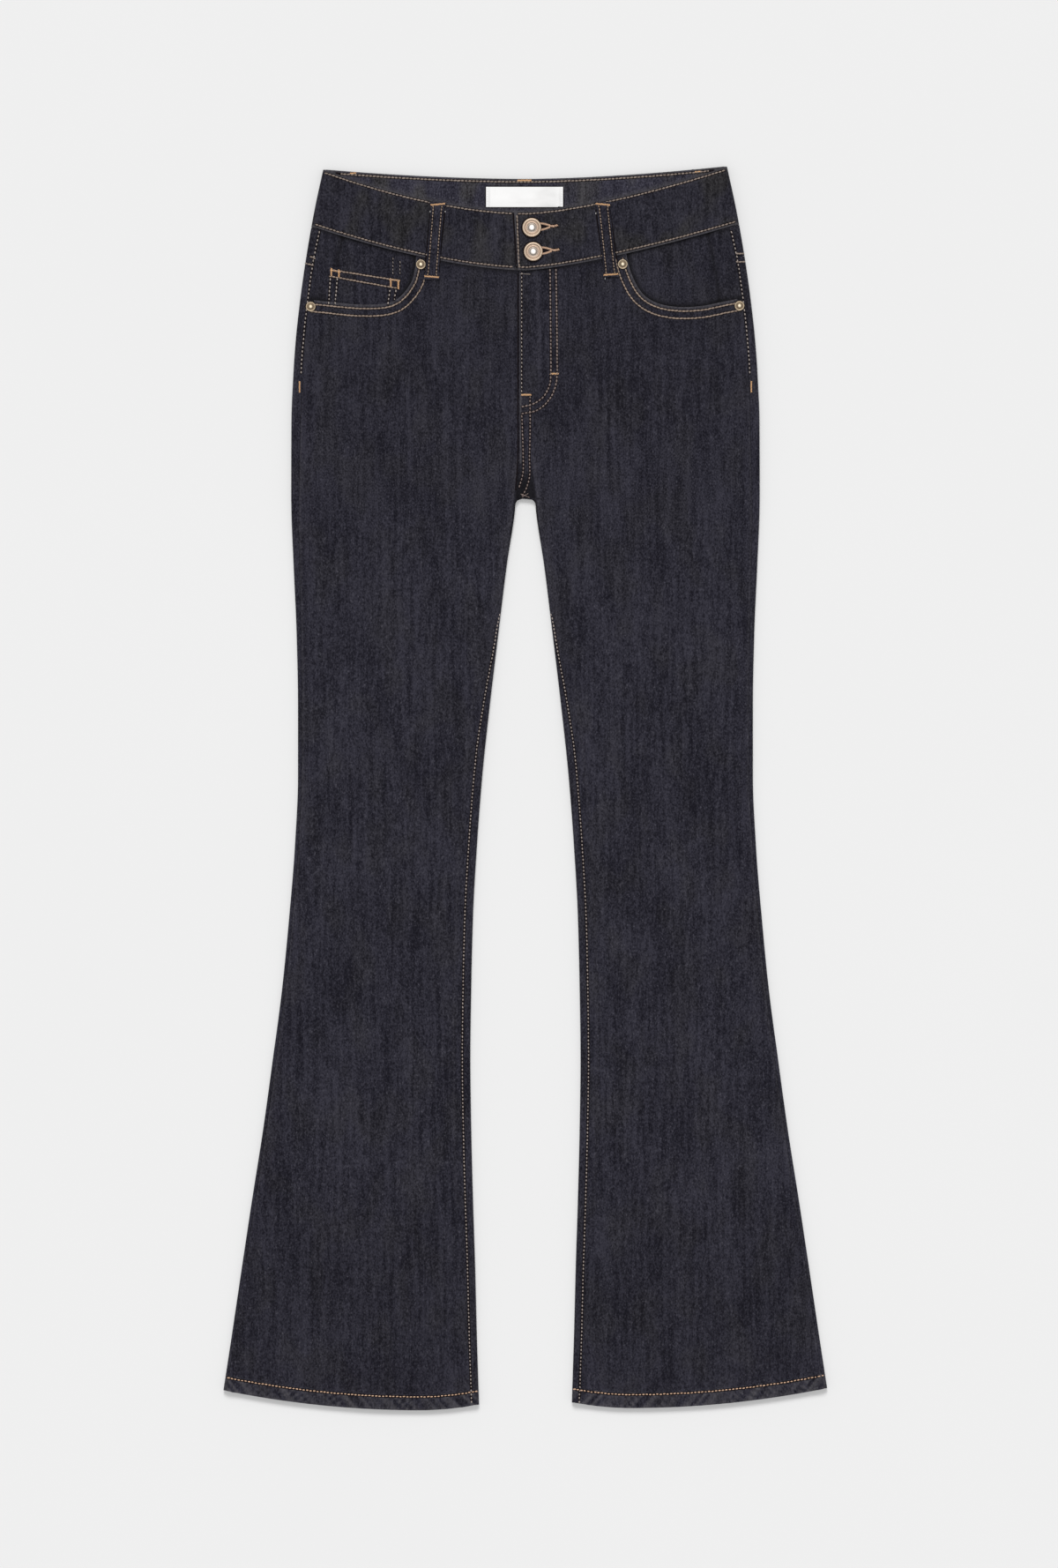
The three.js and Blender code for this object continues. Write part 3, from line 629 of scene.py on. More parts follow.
def satin(name):
    paint = Paint(name, Sheen_Weight=0.3, Specular_IOR_Level=0.6, Anisotropic=0.4)
    rib = paint.noise(paint.place((7, 0.16, 1)), detail=1)
    cloud = paint.noise(paint.place((14, 8, 5)), detail=1)
    x, _, _ = paint.axes(paint.place())
    # Painted sheen: a soft grey band across the right part of the label.
    grey_sheen = paint.between(x, 2.0, 22.0) * (1 - paint.between(x, 24.0, 33.0))
    shade = paint.between(cloud * 0.6 + grey_sheen * 0.3, 0.2, 1.0)
    paint.colour(paint.blend(shade, (0.90, 0.895, 0.89), (0.70, 0.695, 0.69)))
    paint.roughness(0.34 + rib * 0.2)
    paint.bump(rib, 0.05, 0.6)
    return paint.material


def metal(name, x, down, rings, rough=0.42):
    """Turned metal with a ring of its own colour at each radius, paler on the rims."""
    paint = Paint(name, Metallic=0.7)
    px, py, _ = paint.axes(paint.place(offset=(-x, -(LENGTH / 2 - down), 0)))
    radius = (px * px + py * py) ** 0.5
    wear = paint.noise(paint.place((1.2, 1.2, 1.2)), detail=3, rough=0.6)
    grain = paint.noise(paint.place((0.25, 0.25, 0.25)), detail=1)
    node = paint.tree.nodes.new("ShaderNodeValToRGB")
    reach = rings[-1][0]
    ramp = node.color_ramp
    while len(ramp.elements) < len(rings):
        ramp.elements.new(0.5)
    for element, (at, colour) in zip(ramp.elements, rings):
        element.position = at / reach
        element.color = (*colour, 1)
    paint.join(node.inputs[0], (radius + (wear - 0.5) * 0.5) / reach)
    dull = paint.blend(paint.between(wear, 0.5, 0.8) * 0.35, Value(paint, node.outputs[0]),
                       (0.30, 0.21, 0.15))
    paint.colour(dull)
    paint.roughness(rough + wear * 0.22)
    paint.bump(grain + wear, 0.05, 0.5)
    return paint.material


# Meshes of cloth

def inside_of(outline, x, down):
    """Which points lie inside a closed outline."""
    inside = np.zeros(np.shape(x), bool)
    a = np.asarray(outline, float)
    for (x0, d0), (x1, d1) in zip(a, np.roll(a, -1, axis=0)):
        if d1 != d0:
            crosses = (d0 > down) != (d1 > down)
            inside ^= crosses & (x < x0 + (down - d0) * (x1 - x0) / (d1 - d0))
    return inside


def cloth(name, node, grid, wall, paints, up=1, sample=(0.5, 0.5), wear_and_painted_shading=None,
          stays=None, snap=None, edge=0.4, hem=None):
    """Closed cloth wall from a grid of outside points (x, down, z).
    up tells whether the outside faces up at the sample place. stays(x, down) says which faces
    are kept, and the rim that is cut there follows the path snap. hem is the side of a leg
    whose cloth is doubled at its hem."""
    x, down, z = grid
    rows, columns = x.shape
    bm = bmesh.new()
    bmesh.ops.create_grid(bm, x_segments=columns - 1, y_segments=rows - 1, size=1)
    bm.verts.index_update()
    corner = np.array([v.co[:2] for v in bm.verts])
    i = np.rint((corner[:, 1] + 1) / 2 * (rows - 1)).astype(int)
    j = np.rint((corner[:, 0] + 1) / 2 * (columns - 1)).astype(int)
    px, pd, pz = x[i, j].copy(), down[i, j].copy(), z[i, j].copy()
    gone = []
    if stays is not None:
        kept_faces = stays((x[:-1, :-1] + x[1:, 1:]) / 2, (down[:-1, :-1] + down[1:, 1:]) / 2)
        cut, kept = set(), set()
        for face in bm.faces:
            corners = [v.index for v in face.verts]
            if kept_faces[i[corners].min(), j[corners].min()]:
                kept.update(corners)
            else:
                gone.append(face)
                cut.update(corners)
        fine = even(snap, 0.15)
        for k in cut & kept:
            away = (fine[:, 0] - px[k]) ** 2 + (fine[:, 1] - pd[k]) ** 2
            if away.min() < 2.7**2:
                px[k], pd[k] = fine[away.argmin()]
    layer = bm.verts.layers.float.new("wear_and_painted_shading")
    shade = wear_and_painted_shading(px, pd) if wear_and_painted_shading else np.zeros(len(px))
    for v, a, b, c, tone in zip(bm.verts, px, pd, pz, shade):
        v.co = Vector((a, LENGTH / 2 - b, c)) * MM
        v[layer] = tone
    si, sj = int(sample[0] * (rows - 2)), int(sample[1] * (columns - 2))
    along = (x[si, sj + 1] - x[si, sj], down[si, sj] - down[si, sj + 1])
    onward = (x[si + 1, sj] - x[si, sj], down[si, sj] - down[si + 1, sj])
    if (along[0] * onward[1] - along[1] * onward[0]) * up < 0:
        bmesh.ops.reverse_faces(bm, faces=bm.faces[:])
    bmesh.ops.delete(bm, geom=gone, context="FACES")
    area = sum(face.calc_area() for face in bm.faces)
    mesh = bpy.data.meshes.new(name)
    bm.to_mesh(mesh)
    bm.free()
    mesh.shade_smooth()
    piece = bpy.data.objects.new(name, mesh)
    bpy.context.collection.objects.link(piece)
    for paint in paints:
        mesh.materials.append(paint)
    solid = piece.modifiers.new("wall", "SOLIDIFY")
    solid.thickness = wall * MM
    solid.offset = -1
    solid.use_even_offset = True
    solid.material_offset = len(paints) - 1
    if hem is not None:
        at = np.array([v.co[:2] for v in mesh.vertices]) / MM
        doubled = LENGTH / 2 - at[:, 1] > hem_at(hem, np.abs(at[:, 0])) - HEM_DEPTH
        group = piece.vertex_groups.new(name="wall")
        group.add(np.flatnonzero(~doubled).tolist(), wall / HEM_CLOTH, "REPLACE")
        group.add(np.flatnonzero(doubled).tolist(), 1.0, "REPLACE")
        solid.vertex_group = "wall"
        solid.thickness = HEM_CLOTH * MM
    if edge:
        soft = piece.modifiers.new("soft edges", "BEVEL")
        soft.width = edge * MM
        soft.segments = 2
        soft.limit_method = "ANGLE"
        soft.angle_limit = math.radians(60)
    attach(piece, "root")
    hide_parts(node)
    return piece


# Front panels, facings and coin pocket

FRONT_ROWS = spaced((93, 297, 2.0), (297, 312, 1.25), (312, 1084, 2.9), (1084, 1096, 2.0),
                    (1096, 1114, 1.2))
PANEL_COLUMNS = dict(
    arc=np.linspace(0, 1, 7),
    fall=np.linspace(0, 1, 12)[1:],
    field=spaced((0, 0.10, 0.0068), (0.10, 0.40, 0.017), (0.40, 0.54, 0.0095), (0.54, 1, 0.0195))[1:],
    rise=np.linspace(0, 1, 11)[1:],
)


def front_grid(side, rows, columns, under, wall, fly=False, relief=None):
    """Outside of a front layer, from its inside edge out to the side seam.
    under is the room below it, over the back panel, and wall its thickness."""
    share = np.concatenate([columns[part] for part in ("arc", "fall", "field", "rise")])[None]
    counts = [len(columns[part]) for part in ("arc", "fall", "field", "rise")]
    part = np.repeat(np.arange(4), counts)[None]
    row = rows[:, None]
    rough = panel_down(side, row, 120.0, "front_bottom", FRONT_TOP)
    edge = np.where(row > CROTCH_DOWN, inner_at(rough), front_edge(side, row))
    leg = ease(row, CROTCH_DOWN, 302)
    hem = ease(row, HEM_TOP - 3.2, HEM_TOP - 1.2)
    radius = mix(FOLD_HEIGHT, HEM_FOLD_HEIGHT, hem) / 2
    turn = share * math.pi / 2
    on_arc = mix(edge + share * radius, edge + radius * (1 - np.cos(turn)), leg)
    fall_end = edge + radius + INNER_FALL
    down = rough + 0 * share
    for _ in range(3):
        seam = seam_at(down)
        across = np.select(
            [part == 0, part == 1, part == 2],
            [on_arc, edge + radius + INNER_FALL * share, mix(fall_end, seam - OUTER_FALL, share)],
            seam - OUTER_FALL * (1 - share),
        )
        down = panel_down(side, row, across, "front_bottom", FRONT_TOP)
    lift = lift_at(down)
    thick = mix(wall, HEM_CLOTH, hem)
    level = lift + mix(DENIM, HEM_CLOTH, hem) + SEAM_GAP + under(down)
    if fly:
        level = level + fly_rise(side * across, down)
    lifted = np.select([part == 1, part == 2], [leg * (1 - ease(share, 0, 1)), 0 * share],
                       ease(share, 0, 1))
    top = level + lifted * (lift + 2 * radius - thick - level) + thick
    curved = lift + radius + SEAM_GAP / 2 + radius * np.sin(turn)
    z = np.where(part == 0, mix(level + thick, curved, leg), top)
    x = side * across
    if relief is not None:
        z = z + relief(x, down) * np.where(part == 0, mix(1, np.sin(turn), leg), 1)
    return x, down, z


def hem_relief(side, x, down, seed):
    """The hem's doubled cloth ropes: slanting rolls between its stitching and its fold."""
    off = down - hem_at(side, np.abs(x))
    slant = np.abs(x) + 0.9 * off
    rope = ripple(slant, HEM_ROLL, seed) * ease(off, -13, -8.5) * (1 - ease(off, -2.2, -0.2))
    above = ripple(slant + 3, ROLL_ABOVE_HEM, seed + 2) * ease(off, -34, -15) * (1 - ease(off, -14.5, -13))
    return 0.42 * rope + 0.22 * above - 0.42 * np.exp(-(((off - HEM_ROW) / 1.1) ** 2))


SEEDS = {LEFT: 1.0, RIGHT: 4.2}


def front_relief(side):
    seed = SEEDS[side]

    def relief(x, down):
        h = 0.14 * (1 + drift(x, down, 95, seed)) + 0.05 * drift(x, down, 31, seed + 3)
        h += sewn(x, down, inseam_path(side, 1100), seed, 0.34, 0.42, 8.5, 7.5, only=-side, slant=0.7)
        for n, distance in enumerate(MOUTH_ROWS):
            h += sewn(x, down, mouth_row(side, distance), seed + n, 0.3, 0.14, 6.5, 5.0)
        seam = down_line(lambda d: side * (seam_at(d)), 200, 1100, 6.0)
        h += sewn(x, down, seam, seed + 5, 0.0, 0.16, 21, 9.0)
        h += hem_relief(side, x, down, seed)
        h += ridge(x, down, LEG_FOLDS[side], 0.4, 2.6)
        if side == LEFT:
            h += sewn(x, down, FLY_OUTER, 2.0, 0.32, 0.13, 7, 5)
            h += sewn(x, down, FLY_INNER, 3.1, 0.32, 0.08, 7, 3)
            h += sewn(x, down, FLY_ROW, 5.1, 0.24, 0.13, 9, 5)
            h += sewn(x, down, SEAM_ROW_LEFT, 2.7, 0.26, 0.12, 6, 4)
            h += sewn(x, down, SEAM_ROW_RIGHT, 1.7, 0.28, 0.16, 6, 6)
            h += ridge(x, down, line([(10.5, 100), (11.5, 150), (12.6, 190)]), 0.22, 3.5)
            h += ridge(x, down, line([(34, 96), (34, 180), (30, 205), (18, 222)]), -0.16, 3.0)
        else:
            h += sewn(x, down, line([(-6.6, 110), (-6.4, 200), (-6.2, 288)]), 6.6, 0.0, 0.22, 12, 9)
        return h

    return relief


def front_wear_and_shading(side):
    seed = SEEDS[side]

    def wear_and_painted_shading(x, down):
        off = down - hem_at(side, np.abs(x))
        slant = np.abs(x) + 0.9 * off
        rope = ripple(slant, HEM_ROLL, seed)
        hem = ease(off, *HEM_SHADE) * (0.28 + 0.70 * rope + 0.2 * ease(off, -3.5, -0.5))
        hem = np.maximum(hem, -0.35 * ease(off, -13.6, -12.8))
        above = ease(off, -30, -15) * (1 - ease(off, -14.6, -13.4))
        hem = hem + above * 0.16 * ripple(slant + 3, ROLL_ABOVE_HEM, seed + 2)
        foot = -0.11 * ease(down, 900, 1000)
        # Painted highlight: a pale band beside each leg's inner fold, just below the crotch.
        inner = np.exp(-(((np.abs(x) - inner_at(down) - 4) / 4.5) ** 2)) * ease(down, 300, 330)
        inner = inner * (1 - ease(down, 380, 440)) * 0.14
        # Painted light and shade on the puckers beside the inseam.
        puckers = ripple(down + 2 * seed, 8.5, seed) * ease(down, 395, 420) * (1 - ease(off, -20, -12))
        puckers = puckers * np.exp(-(((np.abs(x) - inner_at(down) - 13) / 5) ** 2)) * 0.07
        # Painted glint along the side seam, stronger lower down.
        seam = np.exp(-(((np.abs(x) - seam_at(down)) / 1.8) ** 2)) * mix(0.05, 0.2, ease(down, 190, 215))
        # Painted highlight along the legs' inner folds, and painted shade on the flat cloth between them
        # at the crotch.
        apart, _, way = near(LEG_FOLDS[side], x, down, 14)
        fold = 0.16 * np.exp(-((apart / 1.8) ** 2))
        between = np.abs(x) < np.interp(down, LEG_FOLDS[side][:, 1], np.abs(LEG_FOLDS[side][:, 0]))
        crotch = -0.85 * between * ease(apart, 0.3, 2.2) * ease(down, 264, 286)
        rim, _, _ = near(mouth_path(side), x, down, 7)
        mouth = 0.8 * np.exp(-((rim / 2.2) ** 2))
        under_band = down - edge_at("front_bottom", side, np.abs(x))
        shadow = -0.75 * np.exp(-(((under_band - 0.6) / 2.2) ** 2))
        # Painted glint along the ridge of the inseam's allowance.
        allowance = 0.08 * np.exp(-(((np.abs(x) - inner_at(down) - 15) / 1.8) ** 2))
        inner = inner + allowance * ease(down, 430, 470) * (1 + 0.5 * puckers)
        seat = -0.09 * (1 - ease(down, 190, 260))
        fly = 0.0
        # On the left front: a pale line along the fly's edge, partly wear and partly painted highlight,
        # and a painted highlight on the crest beside the fly.
        if side == LEFT:
            edge = x - front_edge(LEFT, down)
            fly = np.exp(-((edge / 1.4) ** 2)) * (down < CROTCH_DOWN - 30)
            crest = (x - np.interp(down, (100, 190), (10.5, 12.6))) / 3.0
            fly = fly + 0.17 * np.exp(-(crest**2)) * (1 - ease(down, 170, 200))
        folds = inner + puckers + seam + fold + crotch
        return np.clip(hem + folds + mouth + shadow + seat + fly + foot, -1, 1)

    return wear_and_painted_shading


def scoop_outline(side):
    """The pocket opening, reaching up and out past the panel."""
    mouth = mouth_path(side)
    far = side * 240
    return np.vstack([mouth, [(far, mouth[-1, 1]), (far, 20), (mouth[0, 0], 20)]])


def no_room(down):
    return 0 * down


denim_leg = {side: denim("denim_leg_" + SIDES[side], seed=2 + side) for side in SIDES}
denim_back = denim("denim_back", seed=7)
denim_facing = denim("denim_facing", bright=0.92, seed=11)
denim_band = denim("denim_band", bright=0.92, brown=1.0, seed=5)
denim_inside = denim("denim_inside", bright=1.5, contrast=0.95, brown=1.0, seed=9)
denim_loop = denim("denim_loop", bright=1.05, seed=13)

ground = {}
for side, label in SIDES.items():
    opening = scoop_outline(side)
    ground["front", side] = cloth(
        "front_panel_" + label, "front_" + label,
        front_grid(side, FRONT_ROWS, PANEL_COLUMNS, room_at, DENIM, side == LEFT, front_relief(side)),
        DENIM, [denim_leg[side]], wear_and_painted_shading=front_wear_and_shading(side), sample=(0.5, 0.6),
        stays=lambda x, down: ~inside_of(opening, x, down), snap=mouth_path(side), hem=side,
    )

FACING_ROWS = spaced((93, 150, 2.0))
FACING_COLUMNS = dict(arc=np.array([0.0]), fall=np.array([]), field=spaced((0.42, 1, 0.018)),
                      rise=np.linspace(0, 1, 11)[1:])


def facing_relief(side):
    def relief(x, down):
        allowance = ease(np.abs(x) - (seam_at(down) - 18.5), 0, 2.0)
        return 0.45 * allowance + 0.1 * drift(x, down, 40, 3.0 + side)

    return relief


def facing_painted_shade(side):
    """Shadow under the waistband, behind the pocket's mouth and along the facing's fold."""
    def wear_and_painted_shading(x, down):
        rim, _, _ = near(mouth_path(side), x, down, 12)
        under_band = down - edge_at("front_bottom", side, np.abs(x))
        fold = np.abs(x) - (seam_at(down) - 20)
        mouth = -0.95 * np.exp(-((rim / 3.0) ** 2))
        shadow = -0.75 * np.exp(-(((under_band - 0.6) / 2.2) ** 2))
        return mouth + shadow - 0.6 * np.exp(-((fold / 2.6) ** 2))

    return wear_and_painted_shading


for side, label in SIDES.items():
    x, down, z = front_grid(side, FACING_ROWS, FACING_COLUMNS, no_room, THIN_DENIM,
                            relief=facing_relief(side))
    ground["facing", side] = cloth(
        "facing_" + label, "pocket_facing_" + label, (x[:, 1:], down[:, 1:], z[:, 1:]), THIN_DENIM,
        [denim_facing], edge=0.2, wear_and_painted_shading=facing_painted_shade(side),
    )


def corner(name):
    return np.array(COIN_POCKET[name])[:, None, None]


def coin_grid():
    """Patch on the right facing, whose foot slips under the pocket mouth."""
    u = spaced((0, 0.06, 0.01), (0.06, 0.94, 0.022), (0.94, 1, 0.01))[None]
    v = spaced((0, 0.35, 0.02), (0.35, 1, 0.04))[:, None]
    top = mix(corner("outer_top"), corner("inner_top"), u)
    foot = mix(corner("outer_foot"), corner("inner_foot"), u)
    x, down = mix(top, foot, v)
    away, _, _ = near(mouth_path(RIGHT), x, down, 40)
    signed = np.where(inside_of(scoop_outline(RIGHT), x, down), away, -away)
    rise = mix(0.25, THIN_DENIM + 0.15, ease(signed, 0.5, 5.5))
    z = lift_at(down) + DENIM + SEAM_GAP + THIN_DENIM + rise + 0.08 * drift(x, down, 28, 8)
    for n, path in enumerate(COIN_ROWS):
        z = z + sewn(x, down, path, 3.0 + n, 0.2, 0.07, 6, 4)
    return x, down, z


ground["coin", RIGHT] = cloth("coin_patch", "coin_pocket", coin_grid(), THIN_DENIM, [denim_facing],
                              edge=0.3)


# Back panels and yokes, which lie underneath and wrap round both sides

BACK_ROWS = spaced((128, 297, 3.0), (297, 312, 1.5), (312, 1084, 3.4), (1084, 1114, 1.7))
BACK_COLUMNS = dict(
    arc=np.linspace(-1, 0, 6),
    field=spaced((0, 0.08, 0.02), (0.08, 0.92, 0.06), (0.92, 1, 0.02))[1:],
    fold=np.linspace(0, 1, 17)[1:],
    wrap=np.linspace(0, 1, 7)[1:],
)
YOKE_ROW = 100.0
YOKE_STEP = 0.01


def back_grid(side, rows, depth, wrap_depth=None, relief=None):
    """Outside of a back layer, from its inside edge under the front, round the side, to the seam."""
    parts = ("arc", "field", "fold", "wrap")
    share = np.concatenate([BACK_COLUMNS[part] for part in parts])[None]
    part = np.repeat(np.arange(4), [len(BACK_COLUMNS[p]) for p in parts])[None]
    row = rows[:, None]
    leg = ease(row, CROTCH_DOWN, 302)
    hem = ease(row, HEM_TOP + 1.0, HEM_TOP + 3.2)
    radius = mix(FOLD_HEIGHT, HEM_FOLD_HEIGHT, hem) / 2
    edge = np.where(row <= CROTCH_DOWN, SEAM_GAP / 2, inner_at(row))
    side_down = depth(row, outer_at(depth(row, outer_at(row))))
    side_x = outer_at(side_down)
    turn = share * np.where(part == 0, math.pi / 2, math.pi)
    wrap_down = wrap_depth(row, side_x - wrap_at(side_down)) if wrap_depth else side_down
    across = np.select(
        [part == 0, part == 1],
        [
            edge + radius + mix(share * radius, radius * np.sin(turn), leg),
            mix(edge + radius, side_x - radius, share),
        ],
        side_x - radius + radius * np.sin(turn),
    )
    down = np.where(part <= 1, depth(row, np.where(part == 0, edge + radius, across)), side_down)
    down = np.where(part == 3, mix(side_down, wrap_down, share), down)
    across = np.where(part == 3, outer_at(down) - mix(radius, wrap_at(down), share), across)
    lift = lift_at(down)
    z = lift + np.select(
        [part == 0, part == 1, part == 2],
        [leg * radius * (1 - np.cos(turn)) - leg * SEAM_GAP / 2 * (share == -1), 0 * turn,
         radius * (1 - np.cos(turn))],
        2 * radius,
    )
    x = side * across
    if relief is not None:
        hold = np.select([part == 0, part == 1, part == 2], [0 * turn, 0 * turn - 1, -np.cos(turn)], 1)
        z = z + relief(x, down) * hold
    return x, down, z


def back_relief(side):
    """Height outwards from the cloth: downwards underneath and upwards on the front."""
    seed = 2.0 if side == LEFT else 5.0

    def relief(x, down):
        h = sewn(x, down, side_path(side, 57, 190), seed, 0.22, 0.12, 8, 5)
        seam = down_line(lambda d: side * seam_at(d), 190, 1100, 6.0)
        h += sewn(x, down, seam, seed + 5, 0.0, 0.14, 21, 9.0)
        below_seam = down - edge_at("yoke_seam", side, np.abs(x))
        for row in (4.5, 10.5):
            h -= 0.2 * np.exp(-(((below_seam - row) / 1.2) ** 2))
        h += hem_relief(side, x, down, seed) * 0.7
        return np.minimum(h, 0.25)

    return relief


def build_back(side, label):
    def panel_depth(row, across):
        return panel_down(side, row, across, "yoke_seam", BACK_TOP)

    def yoke_seam(across):
        return edge_at("yoke_seam", side, across) - SEAM_GAP / 4

    def yoke_depth(row, across):
        top = edge_at("back_bottom", side, across) + SEAM_GAP
        return mix(top, yoke_seam(across), (row - YOKE_ROW) / YOKE_STEP)

    def yoke_wrap(row, across):
        top = edge_at("front_bottom", side, across) + 2 * SEAM_GAP
        return mix(top, yoke_seam(outer_at(BACK_TOP)), (row - YOKE_ROW) / YOKE_STEP)

    ground["back", side] = cloth(
        "back_panel_" + label, "back_" + label,
        back_grid(side, BACK_ROWS, panel_depth, relief=back_relief(side)), DENIM, [denim_back],
        up=-1, sample=(0.5, 0.25), hem=side,
        wear_and_painted_shading=lambda x, down: 0.36 * ease(down - hem_at(side, np.abs(x)), *HEM_SHADE),
    )
    rows = YOKE_ROW + YOKE_STEP * spaced((0, 1, 0.035))
    ground["yoke", side] = cloth(
        "yoke_cloth_" + label, "yoke_" + label,
        back_grid(side, rows, yoke_depth, yoke_wrap, back_relief(side)), DENIM, [denim_back],
        up=-1, sample=(0.5, 0.4),
    )


for side, label in SIDES.items():
    build_back(side, label)


# Waistband: one strip from its lapped end round the wearer's left, the back and the right

def band_grid():
    half = outer_at(40)
    radius = BAND_FOLD_HEIGHT / 2
    lift = LOOP_CLOTH + SEAM_GAP
    rows = spaced((0, 0.16, 0.016), (0.16, 0.84, 0.042), (0.84, 1, 0.016))[:, None]
    stretches = []

    def lap(x):
        return (BAND + SEAM_GAP) * (1 - ease(x, *LAP_FALL))

    def front(side, share):
        down = 40.0 + 0 * rows * share
        for _ in range(3):
            across = share * (outer_at(down) - radius)
            down = mix(edge_at("front_top", side, across), edge_at("front_bottom", side, across), rows)
        z = mix(BAND_TOP, lift + BAND_FOLD_HEIGHT, ease(share, 0.9, 1)) + 0 * down
        if side == LEFT:
            z = z + lap(share * half)
        stretches.append((side * across, down, z, np.ones(down.shape)))

    def back(side, share, turn):
        share, turn = np.broadcast_arrays(np.atleast_1d(share), np.atleast_1d(turn))
        down = 40.0 + 0 * rows * share
        for _ in range(3):
            across = share * (outer_at(down) - radius)
            down = mix(edge_at("back_top", side, across), edge_at("back_bottom", side, across), rows)
        z = lift + radius * (1 - np.cos(turn)) + 0 * down
        x = side * (across + radius * np.sin(turn))
        stretches.append((x, down, z, 0 * down + mix(0.5, 0, np.sin(turn))))

    x = np.linspace(-1, 0, 9)[None, :-1] * mix(OVERLAP_END[0], OVERLAP_END[1], rows)
    down = mix(edge_at("front_top", LEFT, x), edge_at("front_bottom", LEFT, x), rows)
    stretches.append((x, down, BAND_TOP + lap(x), np.ones(x.shape)))
    over = spaced((0, 0.3, 0.008), (0.3, 1, 0.012))
    turns = np.linspace(math.pi, 0, 13)[1:-1]
    front(LEFT, over)
    back(LEFT, 1.0, turns)
    back(LEFT, spaced((0, 1, 0.022))[::-1], 0.0)
    back(RIGHT, spaced((0, 1, 0.022))[1:], 0.0)
    back(RIGHT, 1.0, turns[::-1])
    front(RIGHT, np.concatenate([over[::-1], -spaced((0, BAND_UNDERLAP / half, 0.012))[1:]]))
    x, down, z, hold = (np.concatenate(part, axis=1) for part in zip(*stretches))
    from_top = rows * BAND_DEPTH + 0 * x
    from_foot = BAND_DEPTH - from_top
    steps = np.hypot(np.diff(x[15]), np.diff(down[15]))
    arc = np.concatenate([[0], np.cumsum(steps)])[None]
    height = 0.12 * drift(x, down, 70, 2.0)
    for off, seed, slant in ((from_top, 2.2, 0.2), (from_foot, 4.2, -0.15)):
        height = height - 0.55 * np.exp(-((off / 1.3) ** 2)) - 0.3 * np.exp(-(((off - 2.6) / 1.1) ** 2))
        height = height + 0.13 * ripple(arc + slant * off, 10, seed) * np.exp(-(((off - 3) / 7) ** 2))
    return x, down, z + hold * height


def band_wear_and_highlight(x, down):
    """The band's folded edges are worn pale, and the edge of its lapped end has a painted highlight."""
    tone = 0 * x
    for edge in ("front_top", "front_bottom", "back_top"):
        wear = 0.75 if edge == "front_bottom" else 0.5
        tone = np.maximum(tone, wear * np.exp(-(((down - edge_down(edge, x)) / 2.0) ** 2)))
    # Painted highlight along the edge of the band's lapped end.
    lap = x + np.interp(down, (40, 93), OVERLAP_END)
    return np.maximum(tone, 0.95 * np.exp(-((lap / 1.5) ** 2)) * (lap > -0.4))


ground["band", 0] = cloth("waistband_strip", "waistband", band_grid(), BAND,
                          [denim_band, denim_inside], sample=(0.5, 0.2), edge=0.5,
                          wear_and_painted_shading=band_wear_and_highlight)


# Belt loops, back pockets and label

def panel_top(down):
    return lift_at(down) + DENIM + SEAM_GAP + room_at(down) + DENIM


def front_loop_grid(side):
    loop = FRONT_LOOPS[side]
    along = spaced((0, 1, 0.014))[:, None]
    across = spaced((-1, -0.7, 0.075), (-0.7, 0.7, 0.14), (0.7, 1, 0.075))[None]
    down = mix(loop["top_down"], loop["bottom_down"], along) + 0 * across
    flare = np.maximum(ease(along, 0.1, 0), ease(along, 0.88, 1))
    centre = mix(loop["top"], loop["bottom"], along)
    x = side * (centre + across * mix(LOOP_WAIST, LOOP_ENDS, flare) / 2)
    band_bottom = edge_at("front_bottom", side, (loop["top"] + loop["bottom"]) / 2)
    on_panel = ease(down, band_bottom, loop["bottom_down"] - 5)
    z = mix(BAND_TOP, panel_top(down), on_panel) + SEAM_GAP + LOOP_CLOTH
    z = z + 0.5 * np.sin(math.pi * along) ** 0.6
    z = z - 0.35 * np.exp(-(((np.abs(across) - 0.62) / 0.16) ** 2))
    z = z + 0.12 * ripple(down + 2 * across, 5.5, 1.0 + side) * (np.abs(across) > 0.4)
    from_end = 69 * np.minimum(along, 1 - along)
    return x, down, z - 0.5 * np.exp(-(((from_end - 2.5) / 2.2) ** 2))


for side, label in SIDES.items():
    ground["loop", side] = cloth(
        "front_loop_" + label, "belt_loop_front_" + label, front_loop_grid(side), LOOP_CLOTH,
        [denim_loop], edge=0.45,
    )

BACK_LOOP_START = {
    label: float(edge_at("back_top", LEFT if x >= 0 else RIGHT, abs(x)))
    for label, x in BACK_LOOPS.items()
}
for label, middle in BACK_LOOPS.items():
    along = spaced((0, 1, 0.016))[:, None]
    across = spaced((-1, -0.7, 0.1), (-0.7, 0.7, 0.2), (0.7, 1, 0.1))[None]
    x = middle + across * LOOP_WAIST / 2 + 0 * along
    down = BACK_LOOP_START[label] + BACK_LOOP_LENGTH * along + 0 * across
    z = 0.25 * np.exp(-(((np.abs(across) - 0.62) / 0.16) ** 2)) + 0 * along
    ground["back loop", label] = cloth(
        "back_loop_" + label, "belt_loop_back_" + label, (x, down, z), LOOP_CLOTH, [denim_loop],
        up=-1, edge=0.4,
    )


def pocket_inset(distance, side):
    """Corners of a line inside the back pocket's outline."""
    p = np.array(BACK_POCKET, float)
    corners = []
    for a, b, c in zip(np.roll(p, 1, axis=0), p, np.roll(p, -1, axis=0)):
        one = (b - a) / np.linalg.norm(b - a)
        two = (c - b) / np.linalg.norm(c - b)
        inward = np.array([-one[1], one[0]])
        bend = inward + (-two[1], two[0])
        corners.append(b + distance * bend / np.dot(bend, inward))
    return np.array(corners) * (side, 1)


